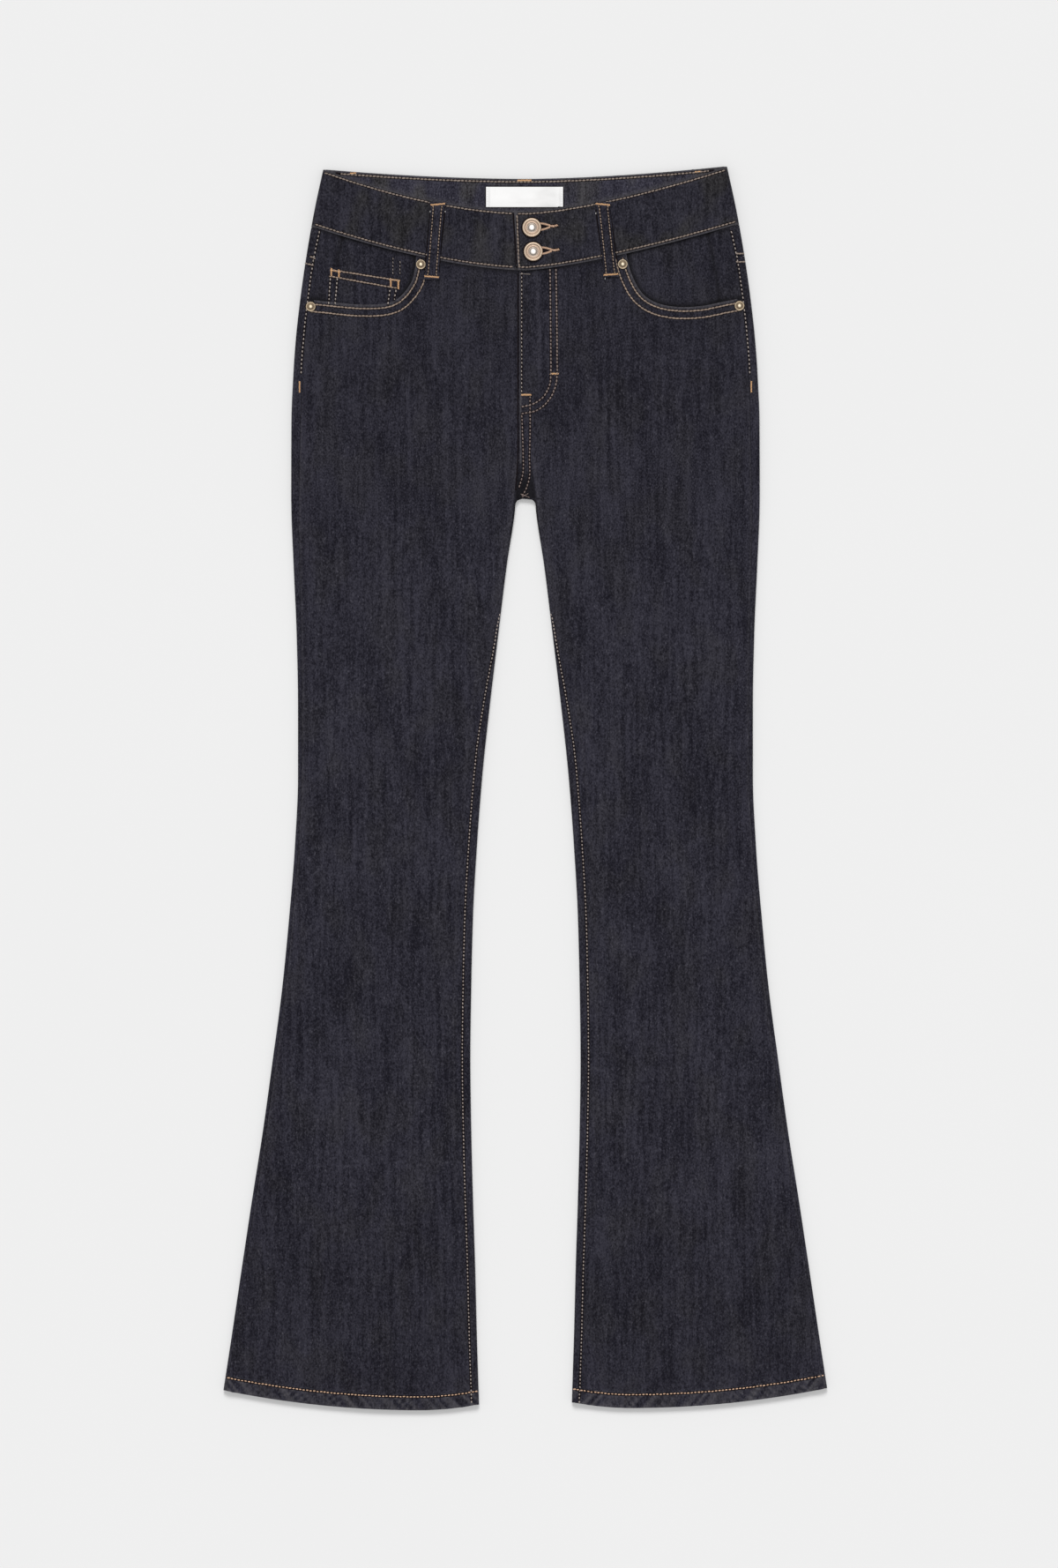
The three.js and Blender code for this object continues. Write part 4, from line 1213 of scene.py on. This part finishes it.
def back_pocket_grid(side):
    """Patch whose columns run from the inner to the outer edge and whose foot comes to a point."""
    u = spaced((0, 0.05, 0.01), (0.05, 0.95, 0.03), (0.95, 1, 0.01))[None]
    v = spaced((0, 0.12, 0.01), (0.12, 0.94, 0.03), (0.94, 1, 0.01))[:, None]
    inner_top, outer_top, outer_foot, point, inner_foot = (
        np.array(p, float)[:, None, None] for p in BACK_POCKET
    )
    turn = float((point - inner_foot)[0, 0, 0] / (outer_foot - inner_foot)[0, 0, 0])
    foot = np.where(
        u < turn,
        mix(inner_foot, point, np.clip(u / turn, 0, 1)),
        mix(point, outer_foot, np.clip((u - turn) / (1 - turn), 0, 1)),
    )
    across, down = mix(mix(inner_top, outer_top, u), foot, v)
    x = side * across
    z = 0 * x
    for n, distance in enumerate((2.0, 8.3)):
        ring = pocket_inset(distance, side)
        closed = even(np.vstack([ring, ring[:1]]), 3.0)
        z = z - sewn(x, down, closed, 2.0 + n, 0.22, 0.08, 8, 4)
    return x, down, np.maximum(z, 0)


for side, label in SIDES.items():
    ground["back pocket", side] = cloth(
        "back_patch_" + label, "back_pocket_" + label, back_pocket_grid(side), DENIM, [denim_back],
        up=-1, edge=0.3,
    )


def label_grid():
    left, right, top, bottom = (LABEL[part] for part in ("left", "right", "top", "bottom"))
    x = spaced((left, left + 3, 0.5), (left + 3, right - 3, 1.5), (right - 3, right, 0.5))[None]
    down = spaced((top, bottom, 0.9))[:, None]
    foot = LOOP_CLOTH + SEAM_GAP + BAND + SEAM_GAP
    z = foot + 0.45 + 0.10 * np.sin(x * 0.13 + 1) + 0.06 * np.sin(down * 0.5 + x * 0.05)
    z = z + 0.4 * (1 - ease(np.minimum(x - left, right - x), 2.2, 3.0))
    z = z + 0.25 * np.sin(math.pi * (down - top) / (bottom - top))
    return x + 0 * down, down + 0 * x, z


ground["label", 0] = cloth("satin_label", "label", label_grid(), 0.45, [satin("white_satin")],
                           edge=0.12)


# Sewing: stitches are small closed threads, each laid on the cloth above or below its place

class Ground:
    """Finds the surface of some pieces under or over a place."""

    def __init__(self, *keys):
        depsgraph = bpy.context.evaluated_depsgraph_get()
        self.trees = [BVHTree.FromObject(ground[key], depsgraph) for key in keys]

    def drop(self, x, down, above=True):
        way = Vector((0, 0, -1 if above else 1))
        start = Vector((x * MM, (LENGTH / 2 - down) * MM, 0)) - way * 0.05
        best = None
        for tree in self.trees:
            place, normal, _, distance = tree.ray_cast(start, way)
            if place is not None and (best is None or distance < best[2]):
                best = (place, normal, distance)
        if best is None:
            return None
        normal = best[1] if best[1].dot(way) < 0 else -best[1]
        return best[0] / MM, normal


class Sewing:
    """Collects stitches and makes them one joined mesh."""

    def __init__(self, name, paint, facets=(8, 6), seed=1):
        self.name = name
        self.paint = paint
        self.facets = facets
        self.random = np.random.default_rng(seed)
        self.parts = []

    def lay(self, ground, x, down, along, length, width, height, above=True, tone=0.8):
        """One stitch centred on a place, with its length along a direction (x, down)."""
        found = ground.drop(x, down, above)
        if found is None:
            return
        place, normal = found
        direct = Vector((along[0], -along[1], 0)).normalized()
        direct = (direct - normal * direct.dot(normal)).normalized()
        self.parts.append((place + normal * height * 0.22, direct, normal, length / 2, width / 2,
                           height / 2, tone))

    def row(self, ground, path, pitch=3.3, length=3.2, width=1.45, height=0.6, above=True, shade_width=2.4):
        """Stitches along a path, over a strip of painted shade of the given width under them."""
        painted_shade_lines.lay_shade(ground, path, shade_width, above)
        dots = even(path, pitch)
        for (x, down), step in zip((dots[1:] + dots[:-1]) / 2, np.diff(dots, axis=0)):
            shift = self.random.normal(0, 0.06, 3)
            tilt = step + np.array([step[1], -step[0]]) * (0.07 + shift[2])
            self.lay(ground, x + shift[0], down + shift[1], tilt, length * (1 + shift[2]), width,
                     height, above, self.random.uniform(0.25, 1))

    def bar(self, ground, start, end, wide=2.0, pitch=0.5, width=0.5, above=True):
        """Bar tack: threads laid close across a short line."""
        dots = even([start, end], pitch)
        step = np.diff(dots, axis=0)[0]
        cross = np.array([-step[1], step[0]])
        for n, (x, down) in enumerate(dots):
            lean = cross + step * (0.5 if n % 2 else -0.5)
            shift = self.random.normal(0, 0.05, 2)
            self.lay(ground, x + shift[0], down + shift[1], lean, wide * (1 + shift[0]), width, 0.5,
                     above, self.random.uniform(0.6, 1))

    def make(self):
        bm = bmesh.new()
        bmesh.ops.create_uvsphere(bm, u_segments=self.facets[0], v_segments=self.facets[1], radius=1)
        bmesh.ops.rotate(bm, verts=bm.verts, cent=(0, 0, 0),
                         matrix=Matrix.Rotation(math.pi / 2, 3, "Y"))
        bm.verts.index_update()
        form = np.array([v.co[:] for v in bm.verts])
        faces = [[v.index for v in face.verts] for face in bm.faces]
        bm.free()
        turns = np.arctan2(form[:, 2], form[:, 1]) / (2 * math.pi)
        sink = 0.15 * form[:, :1] ** 4
        verts, marks, joined = [], [], []
        for place, direct, normal, half, wide, high, tone in self.parts:
            out = np.array(normal)
            verts.append(np.array(place) + form[:, :1] * half * np.array(direct)
                         + form[:, 1:2] * wide * np.array(normal.cross(direct))
                         + (form[:, 2:] * high - sink) * out)
            marks.append(np.stack([form[:, 0] * half, turns, np.full(len(form), tone)], axis=1))
            offset = (len(verts) - 1) * len(form)
            joined.extend([index + offset for index in face] for face in faces)
        mesh = bpy.data.meshes.new(self.name)
        mesh.from_pydata((np.vstack(verts) * MM).tolist(), [], joined)
        mark = mesh.attributes.new("thread", "FLOAT_VECTOR", "POINT")
        mark.data.foreach_set("vector", np.vstack(marks).ravel())
        mesh.shade_smooth()
        mesh.materials.append(self.paint)
        piece = bpy.data.objects.new(self.name, mesh)
        bpy.context.collection.objects.link(piece)
        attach(piece, "root")


class Lines:
    """Strips of painted shade along stitch rows, edges and hardware, as thin closed dark strips on the
    cloth.
    """

    def __init__(self, name, paint):
        self.name = name
        self.paint = paint
        self.bm = bmesh.new()

    def lay_shade(self, ground, path, width, above=True):
        path = even(path, 2.5)
        run = []
        for pair in zip(beside(path, width / 2), beside(path, -width / 2)):
            found = [ground.drop(x, down, above) for x, down in pair]
            if all(found):
                run.append(found)
            else:
                self.close(run)
                run = []
        self.close(run)

    def close(self, run):
        rings = []
        for (a, a_normal), (b, b_normal) in run:
            corners = (a + a_normal * 0.05, b + b_normal * 0.05, b - b_normal * 0.1, a - a_normal * 0.1)
            rings.append([self.bm.verts.new(place * MM) for place in corners])
        for one, two in zip(rings, rings[1:]):
            for k in range(4):
                self.bm.faces.new((one[k], one[k - 1], two[k - 1], two[k]))
        if len(rings) > 1:
            self.bm.faces.new(rings[0])
            self.bm.faces.new(rings[-1][::-1])

    def make(self):
        bmesh.ops.recalc_face_normals(self.bm, faces=self.bm.faces)
        mesh = bpy.data.meshes.new(self.name)
        self.bm.to_mesh(mesh)
        self.bm.free()
        mesh.materials.append(self.paint)
        piece = bpy.data.objects.new(self.name, mesh)
        bpy.context.collection.objects.link(piece)
        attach(piece, "root")


def painted_shadow_denim():
    """Near-black mottled cloth for the strips of painted shade along stitch rows and edges."""
    paint = Paint("painted_shadow_denim", Specular_IOR_Level=0.05, Roughness=0.95)
    shade_mottle = paint.noise(paint.place((1.5, 1.5, 1.5)))
    paint.colour(paint.blend(shade_mottle, (0.005, 0.004, 0.006), (0.013, 0.009, 0.010)))
    return paint.material


# Painted shade: dark strips along stitch rows, in the buttonholes, and round the label, buttons, rivets,
# fly edge, band lap and belt loops.
painted_shade_lines = Lines("painted_shade_lines", painted_shadow_denim())

tan = thread("thread_tan", (0.37, 0.275, 0.21), (0.12, 0.086, 0.066))
worn = thread("thread_worn", (0.32, 0.25, 0.205), (0.10, 0.075, 0.062))
faded = thread("thread_faded", (0.28, 0.21, 0.185), (0.072, 0.053, 0.048))
grey = thread("thread_grey", (0.41, 0.345, 0.31), (0.10, 0.083, 0.076))
copper = thread("thread_copper", (0.76, 0.50, 0.34), (0.40, 0.24, 0.15))
gold = thread("thread_gold", (0.90, 0.54, 0.27), (0.55, 0.29, 0.12))
dim = thread("thread_dim", (0.46, 0.40, 0.36), (0.18, 0.155, 0.14))
white = thread("thread_white", (0.72, 0.70, 0.66), (0.5, 0.48, 0.45))

fronts = Ground(("front", LEFT), ("front", RIGHT))
band = Ground(("band", 0))
coin = Ground(("coin", RIGHT), ("facing", RIGHT), ("front", RIGHT))
backs = Ground(("back", LEFT), ("back", RIGHT), ("yoke", LEFT), ("yoke", RIGHT))
outside = Ground(("front", LEFT), ("front", RIGHT), ("back", LEFT), ("back", RIGHT))
front_loops = Ground(("loop", LEFT), ("loop", RIGHT))
bands_and_fronts = Ground(("front", LEFT), ("front", RIGHT), ("band", 0))
on_label = Ground(("label", 0))
topmost = Ground(("front", LEFT), ("front", RIGHT), ("band", 0), ("loop", LEFT), ("loop", RIGHT))

waist = Sewing("stitches_waistband", worn, seed=11)
for off, edge, reach in ((2.5, "front_top", 180), (-2.8, "front_bottom", 188.5)):
    waist.row(band, band_path(edge, off, -reach, -11))
    waist.row(band, band_path(edge, off, -7, reach))
waist.row(band, band_path("back_top", 2.5, -170, 170))
waist.row(band, line([(-7.6, 43.5), (-6.9, 60), (-6.2, 81), (-5.4, 90)]))
for start, end in (((-195.4, 79.6), (-188, 82.6)), ((-197.9, 86.4), (-189.6, 88.5)),
                   ((186.4, 78), (195.9, 78)), ((188.3, 85.3), (196.9, 85.3))):
    waist.row(backs, [start, end], pitch=2.7, width=1.5, shade_width=2.6)

legs = Sewing("stitches_front", tan, seed=12)
for side in SIDES:
    for distance in MOUTH_ROWS:
        legs.row(fronts, mouth_row(side, distance), length=3.7)

fly = Sewing("stitches_fly", faded, seed=21)
for path in (FLY_OUTER, FLY_INNER):
    fly.row(fronts, path, length=2.75)
for path in (SEAM_ROW_LEFT, SEAM_ROW_RIGHT):
    fly.row(fronts, path, length=2.5, width=1.25)
inseams = Sewing("stitches_inseams", grey, seed=22)
for side in SIDES:
    inseams.row(fronts, inseam_path(side, 1107), length=2.15, width=1.3)
for start, end in (((-4.4, 293.2), (3.6, 296.4)), ((-3.2, 296.2), (2.6, 292.6))):
    fly.row(fronts, [start, end], pitch=2.0, length=2.4, width=0.7, shade_width=1.2)

hems = Sewing("stitches_hems", copper, seed=20)
for side in SIDES:
    hems.row(outside, hem_path(side, HEM_ROW, 42.5, 271.5), pitch=3.1, length=2.9, width=1.3,
             height=0.7)

quiet = Sewing("stitches_side_seams", dim, seed=13)
for start, end in (((-118.7, 81), (-118.7, 97)), ((-112.4, 84), (-112.4, 97))):
    quiet.row(coin, [start, end], pitch=3.4, length=1.9, width=0.6, shade_width=1.2)
quiet.row(fronts, FLY_ROW, pitch=3.6, length=2.1, width=0.9, shade_width=1.8)
for side in SIDES:
    quiet.row(backs, side_path(side), pitch=3.7, length=2.2, width=1.15, shade_width=1.9)
for path in COIN_ROWS[2:]:
    quiet.row(coin, path, pitch=3.4, length=2.3, width=1.2, shade_width=2.2)

patch = Sewing("stitches_coin_pocket", tan, seed=14)
for path in COIN_ROWS[:2]:
    patch.row(coin, path, pitch=3.1, length=3.5)

loops = Sewing("stitches_loops", tan, seed=15)
tacks = Sewing("bar_tacks", gold, facets=(6, 5), seed=16)
for side in SIDES:
    loop = FRONT_LOOPS[side]
    for reach in (-3.7, 3.7):
        path = []
        for along, spread in ((0.045, 1.15), (0.12, 1.0), (0.88, 1.0), (0.955, 1.15)):
            across = mix(loop["top"], loop["bottom"], along) + reach * spread
            path.append((side * across, mix(loop["top_down"], loop["bottom_down"], along)))
        loops.row(front_loops, line(path), pitch=2.9, length=2.5, width=1.05, shade_width=1.9)
    for centre, down, tilt in ((loop["top"], loop["top_down"] + 2.3, -0.6),
                               (loop["bottom"], loop["bottom_down"] - 2.3, 0.5)):
        tacks.bar(front_loops, (side * (centre - 6.2), down + tilt), (side * (centre + 6.2), down - tilt),
                  wide=2.1)

tacks.bar(fronts, (22.3, 185.6), (29.5, 185.6), wide=2.2)
tacks.bar(fronts, (-3.4, 204.4), (4.9, 204.4), wide=2.2)
for x, top, foot in ((-173.9, 91.2, 97.6), (-167.1, 92.6, 98.8), (-120.6, 100.4, 107.6),
                     (-113.9, 101.6, 109.4)):
    tacks.bar(coin, (x, top), (x, foot), wide=2.0)
for start, end in (((-174.4, 92.6), (-165.6, 94.2)), ((-121.6, 101), (-112.8, 102.2))):
    tacks.bar(coin, start, end, wide=2.2)
tacks.bar(band, (-7, 12.4), (5, 12.2), wide=2.2)
tacks.bar(band, (-157, 6.0), (-152, 5.7), wide=1.8)
tacks.bar(band, (152, 4.8), (157, 4.4), wide=1.8)
for side in SIDES:
    x = side * float(outer_at(197) - 6.2)
    tacks.bar(backs, (x, 192.5), (x, 202), wide=1.8)

holes = Sewing("buttonholes", copper, seed=17)
for x, down in BUTTONS.values():
    start = x + BUTTON_RADIUS - 1.5
    for way in (-1, 1):
        lip = line([(start, down - 0.8 + way * 2.9), (start + 3, down - 0.9 + way * 2.6),
                    (start + 6, down - 1.0 + way * 1.8), (start + 9.4, down - 1.2 + way * 0.7)], 0.62)
        for a, b in zip(lip, lip[1:]):
            holes.lay(band, *((a + b) / 2), (a[1] - b[1], b[0] - a[0]), 2.0, 0.6, 0.5)
    for a, b in (((9.0, -1.5), (12.4, -1.2)), ((12.4, -1.2), (16.0, -2.0))):
        holes.bar(band, (start + a[0], down + a[1]), (start + b[0], down + b[1]), wide=2.4)
    # Painted shade in the buttonhole's slit, and a painted shadow ring round the button.
    painted_shade_lines.lay_shade(band, [(start, down - 0.9), (start + 8.0, down - 1.3)], 3.2)
    painted_shade_lines.lay_shade(band, [(start + 8, down - 1.4), (start + 17, down - 1.8)], 3.4)
    painted_shade_lines.lay_shade(band, circle(x, down, BUTTON_RADIUS + 0.4, 40), 1.7)

marks = Sewing("white_stitches", white, facets=(6, 4), seed=18)
for x, down in ((63.1, 41.9), (71.4, 100.2), (-85.3, 40.3), (-71.9, 40.3)):
    marks.lay(topmost, x, down, (0, 1), 1.9, 0.7, 0.5)
quiet.row(fronts, [(-5, 96), (4.4, 96.4)], pitch=1.7, length=1.9, width=0.5, shade_width=1.2)
for x in (LABEL["left"] + 1.2, LABEL["right"] - 1.2):
    for down in np.arange(LABEL["top"] + 2, LABEL["bottom"] - 1, 2.2):
        marks.lay(on_label, x, down, (0, 1), 1.5, 0.4, 0.3)
# Painted shadow round the label, beside the fly's edge, at the band's lapped end and round the rivets.
label_corners = [(LABEL[x], LABEL[y]) for x, y in (("left", "top"), ("right", "top"),
                                                   ("right", "bottom"), ("left", "bottom"))]
for a, b in zip(label_corners, label_corners[1:] + label_corners[:1]):
    painted_shade_lines.lay_shade(band, [a, b], 1.7)
painted_shade_lines.lay_shade(fronts, [(-6.6, 96), (-6.6, 200), (-6.7, 262), (-8.9, 290)], 1.2)
painted_shade_lines.lay_shade(band, [(-11, 41.5), (-7.6, 92)], 1.4)
for x, down in RIVETS.values():
    painted_shade_lines.lay_shade(outside, circle(x, down, RIVET_RADIUS + 0.15, 30), 1.4)
# Painted shadow along both sides of each front belt loop.
for side in SIDES:
    loop = FRONT_LOOPS[side]
    for reach in (-0.5, 0.5):
        top, foot = ((side * (loop[end] + reach * (LOOP_WAIST + 0.9)), loop[end + "_down"])
                     for end in ("top", "bottom"))
        painted_shade_lines.lay_shade(bands_and_fronts, [(top[0], top[1] + 7), (foot[0], foot[1] - 8)], 1.3)

under = Sewing("stitches_back", tan, facets=(6, 4), seed=19)
for side in SIDES:
    for off in (4.5, 10.5):
        under.row(backs, band_path("yoke_seam", off, 6, 186) * (side, 1), above=False)
    under.row(backs, down_line(lambda d: side * (inner_at(d) + 6.5), 330, 1097), above=False)
    under.row(backs, hem_path(side, HEM_ROW), pitch=3.1, length=2.8, width=1.25, above=False)
    for distance in (2.0, 8.3):
        ring = pocket_inset(distance, side)
        for a, b in zip(ring, np.roll(ring, -1, axis=0)):
            under.row(Ground(("back pocket", side)), [a, b], above=False)
for x in (3.5, 9.5):
    under.row(backs, [(x, 134), (x, 292)], above=False)
for edge, off in (("back_top", 2.6), ("back_bottom", -2.6)):
    under.row(band, band_path(edge, off, -176, 176), above=False)
for label, middle in BACK_LOOPS.items():
    surface = Ground(("back loop", label))
    start = BACK_LOOP_START[label]
    for way in (-1, 1):
        under.row(surface, [(middle + way * 3.7, start + 2), (middle + way * 3.7, start + 67)],
                  above=False)
    for down in (start + 2.4, start + BACK_LOOP_LENGTH - 2.4):
        tacks.bar(surface, (middle - 5.4, down), (middle + 5.4, down), above=False)

for sewing in (waist, legs, fly, inseams, hems, quiet, patch, loops, tacks, holes, marks, under,
               painted_shade_lines):
    sewing.make()


# Buttons and rivets

def turned_piece(name, node, x, down, foot, profile, paint, segments=72):
    """Solid of revolution from (radius, height) points that start and end on the axis."""
    bm = bmesh.new()
    verts = [bm.verts.new((r, 0, h)) for r, h in profile]
    edges = [bm.edges.new(pair) for pair in zip(verts, verts[1:])]
    bmesh.ops.spin(bm, geom=verts + edges, cent=(0, 0, 0), axis=(0, 0, 1), angle=2 * math.pi,
                   steps=segments, use_merge=True)
    bmesh.ops.remove_doubles(bm, verts=bm.verts, dist=1e-4)
    bmesh.ops.recalc_face_normals(bm, faces=bm.faces)
    bmesh.ops.translate(bm, verts=bm.verts, vec=(x, LENGTH / 2 - down, foot))
    bmesh.ops.scale(bm, verts=bm.verts, vec=(MM, MM, MM))
    mesh = bpy.data.meshes.new(name)
    bm.to_mesh(mesh)
    bm.free()
    mesh.shade_smooth()
    mesh.materials.append(paint)
    piece = bpy.data.objects.new(name, mesh)
    bpy.context.collection.objects.link(piece)
    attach(piece, "root")
    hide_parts(node)


BUTTON_PROFILE = [
    (0, 0), (3.2, 0), (3.2, 0.7), (7.2, 0.65), (7.9, 0.8), (8.35, 1.15), (8.5, 1.6), (8.42, 2.1),
    (8.15, 2.55), (7.75, 2.85), (7.3, 2.95), (6.95, 2.85), (6.7, 2.6), (6.55, 2.3), (6.35, 2.15),
    (6.0, 2.12), (5.4, 2.3), (5.0, 2.42), (4.6, 2.38), (4.35, 2.2), (4.15, 2.02), (3.9, 1.98),
    (3.55, 2.03), (3.25, 2.2), (3.0, 2.5), (2.8, 2.8), (2.5, 3.0), (2.0, 3.15), (1.2, 3.25),
    (0, 3.3),
]
# Ring colours out from the button's middle; its near-white middle is a painted highlight on the dome.
BUTTON_RINGS = [
    (0.0, (0.96, 0.94, 0.92)), (1.7, (0.88, 0.84, 0.80)), (2.7, (0.48, 0.44, 0.40)),
    (4.0, (0.42, 0.35, 0.29)), (4.9, (0.60, 0.45, 0.345)), (6.3, (0.36, 0.26, 0.19)),
    (7.2, (0.76, 0.61, 0.47)), (8.5, (0.62, 0.47, 0.345)),
]
RIVET_PROFILE = [
    (0, 0), (4.0, 0), (4.25, 0.15), (4.35, 0.45), (4.28, 0.8), (4.05, 1.08), (3.75, 1.15),
    (3.5, 1.02), (3.3, 0.82), (3.0, 0.72), (2.6, 0.75), (2.2, 0.95), (1.95, 1.3), (1.7, 1.75),
    (1.4, 2.05), (0.9, 2.17), (0, 2.2),
]
RIVET_RINGS = [
    (0.0, (0.86, 0.76, 0.60)), (1.5, (0.70, 0.59, 0.42)), (2.1, (0.22, 0.165, 0.11)),
    (3.1, (0.20, 0.15, 0.10)), (3.8, (0.62, 0.51, 0.36)), (4.35, (0.40, 0.31, 0.21)),
]
for name, (x, down) in BUTTONS.items():
    seat = BAND_TOP + BAND + 2 * SEAM_GAP
    turned_piece(name + "_cap", name, x, down, seat, BUTTON_PROFILE,
                 metal(name + "_metal", x, down, BUTTON_RINGS))
for name, (x, down) in RIVETS.items():
    at_side = abs(x) > 150
    seat = float(lift_at(down)) + FOLD_HEIGHT if at_side else float(panel_top(down))
    turned_piece(name + "_cap", name, x, down, seat + SEAM_GAP, RIVET_PROFILE,
                 metal(name + "_metal", x, down, RIVET_RINGS), segments=48)


# Floor, light and camera

FLOOR_SIZE = 12.0
bpy.ops.mesh.primitive_plane_add(size=FLOOR_SIZE, location=(0, 0, 0))
floor = bpy.context.object
floor.name = "floor"
floor.data.transform(Matrix.Translation((0, 0, -0.0004)))
floor_paint = Paint("pale_floor", Roughness=0.9, Specular_IOR_Level=0.1)
grain = floor_paint.noise(floor_paint.place((300, 300, 300)), detail=2)
floor_paint.colour(floor_paint.blend(grain, (0.855, 0.855, 0.855), (0.865, 0.865, 0.865)))
floor.data.materials.append(floor_paint.material)

world = bpy.data.worlds.new("pale_room")
world.use_nodes = True
world.node_tree.nodes["Background"].inputs["Color"].default_value = (1, 1, 1, 1)
world.node_tree.nodes["Background"].inputs["Strength"].default_value = 0.375
bpy.context.scene.world = world


def sun(name, toward, strength, softness):
    light = bpy.data.lights.new(name, "SUN")
    light.energy = strength
    light.angle = math.radians(softness)
    lamp = bpy.data.objects.new(name, light)
    lamp.rotation_euler = Vector(toward).to_track_quat("-Z", "Y").to_euler()
    bpy.context.collection.objects.link(lamp)


sun("window", (0.08, -0.95, -1.0), 1.5, 24)
sun("ceiling", (0, 0.05, -1.0), 0.9, 12)

FRAME_HEIGHT = 1.4046
LENS = 400.0
SENSOR = 36.0
camera_data = bpy.data.cameras.new("camera")
camera_data.lens = LENS
camera_data.sensor_width = SENSOR
camera = bpy.data.objects.new("camera", camera_data)
camera.location = (0.0032, 0.004, FRAME_HEIGHT * LENS / SENSOR + 0.0045)
bpy.context.collection.objects.link(camera)
bpy.context.scene.camera = camera
bpy.context.scene.view_settings.view_transform = "Standard"
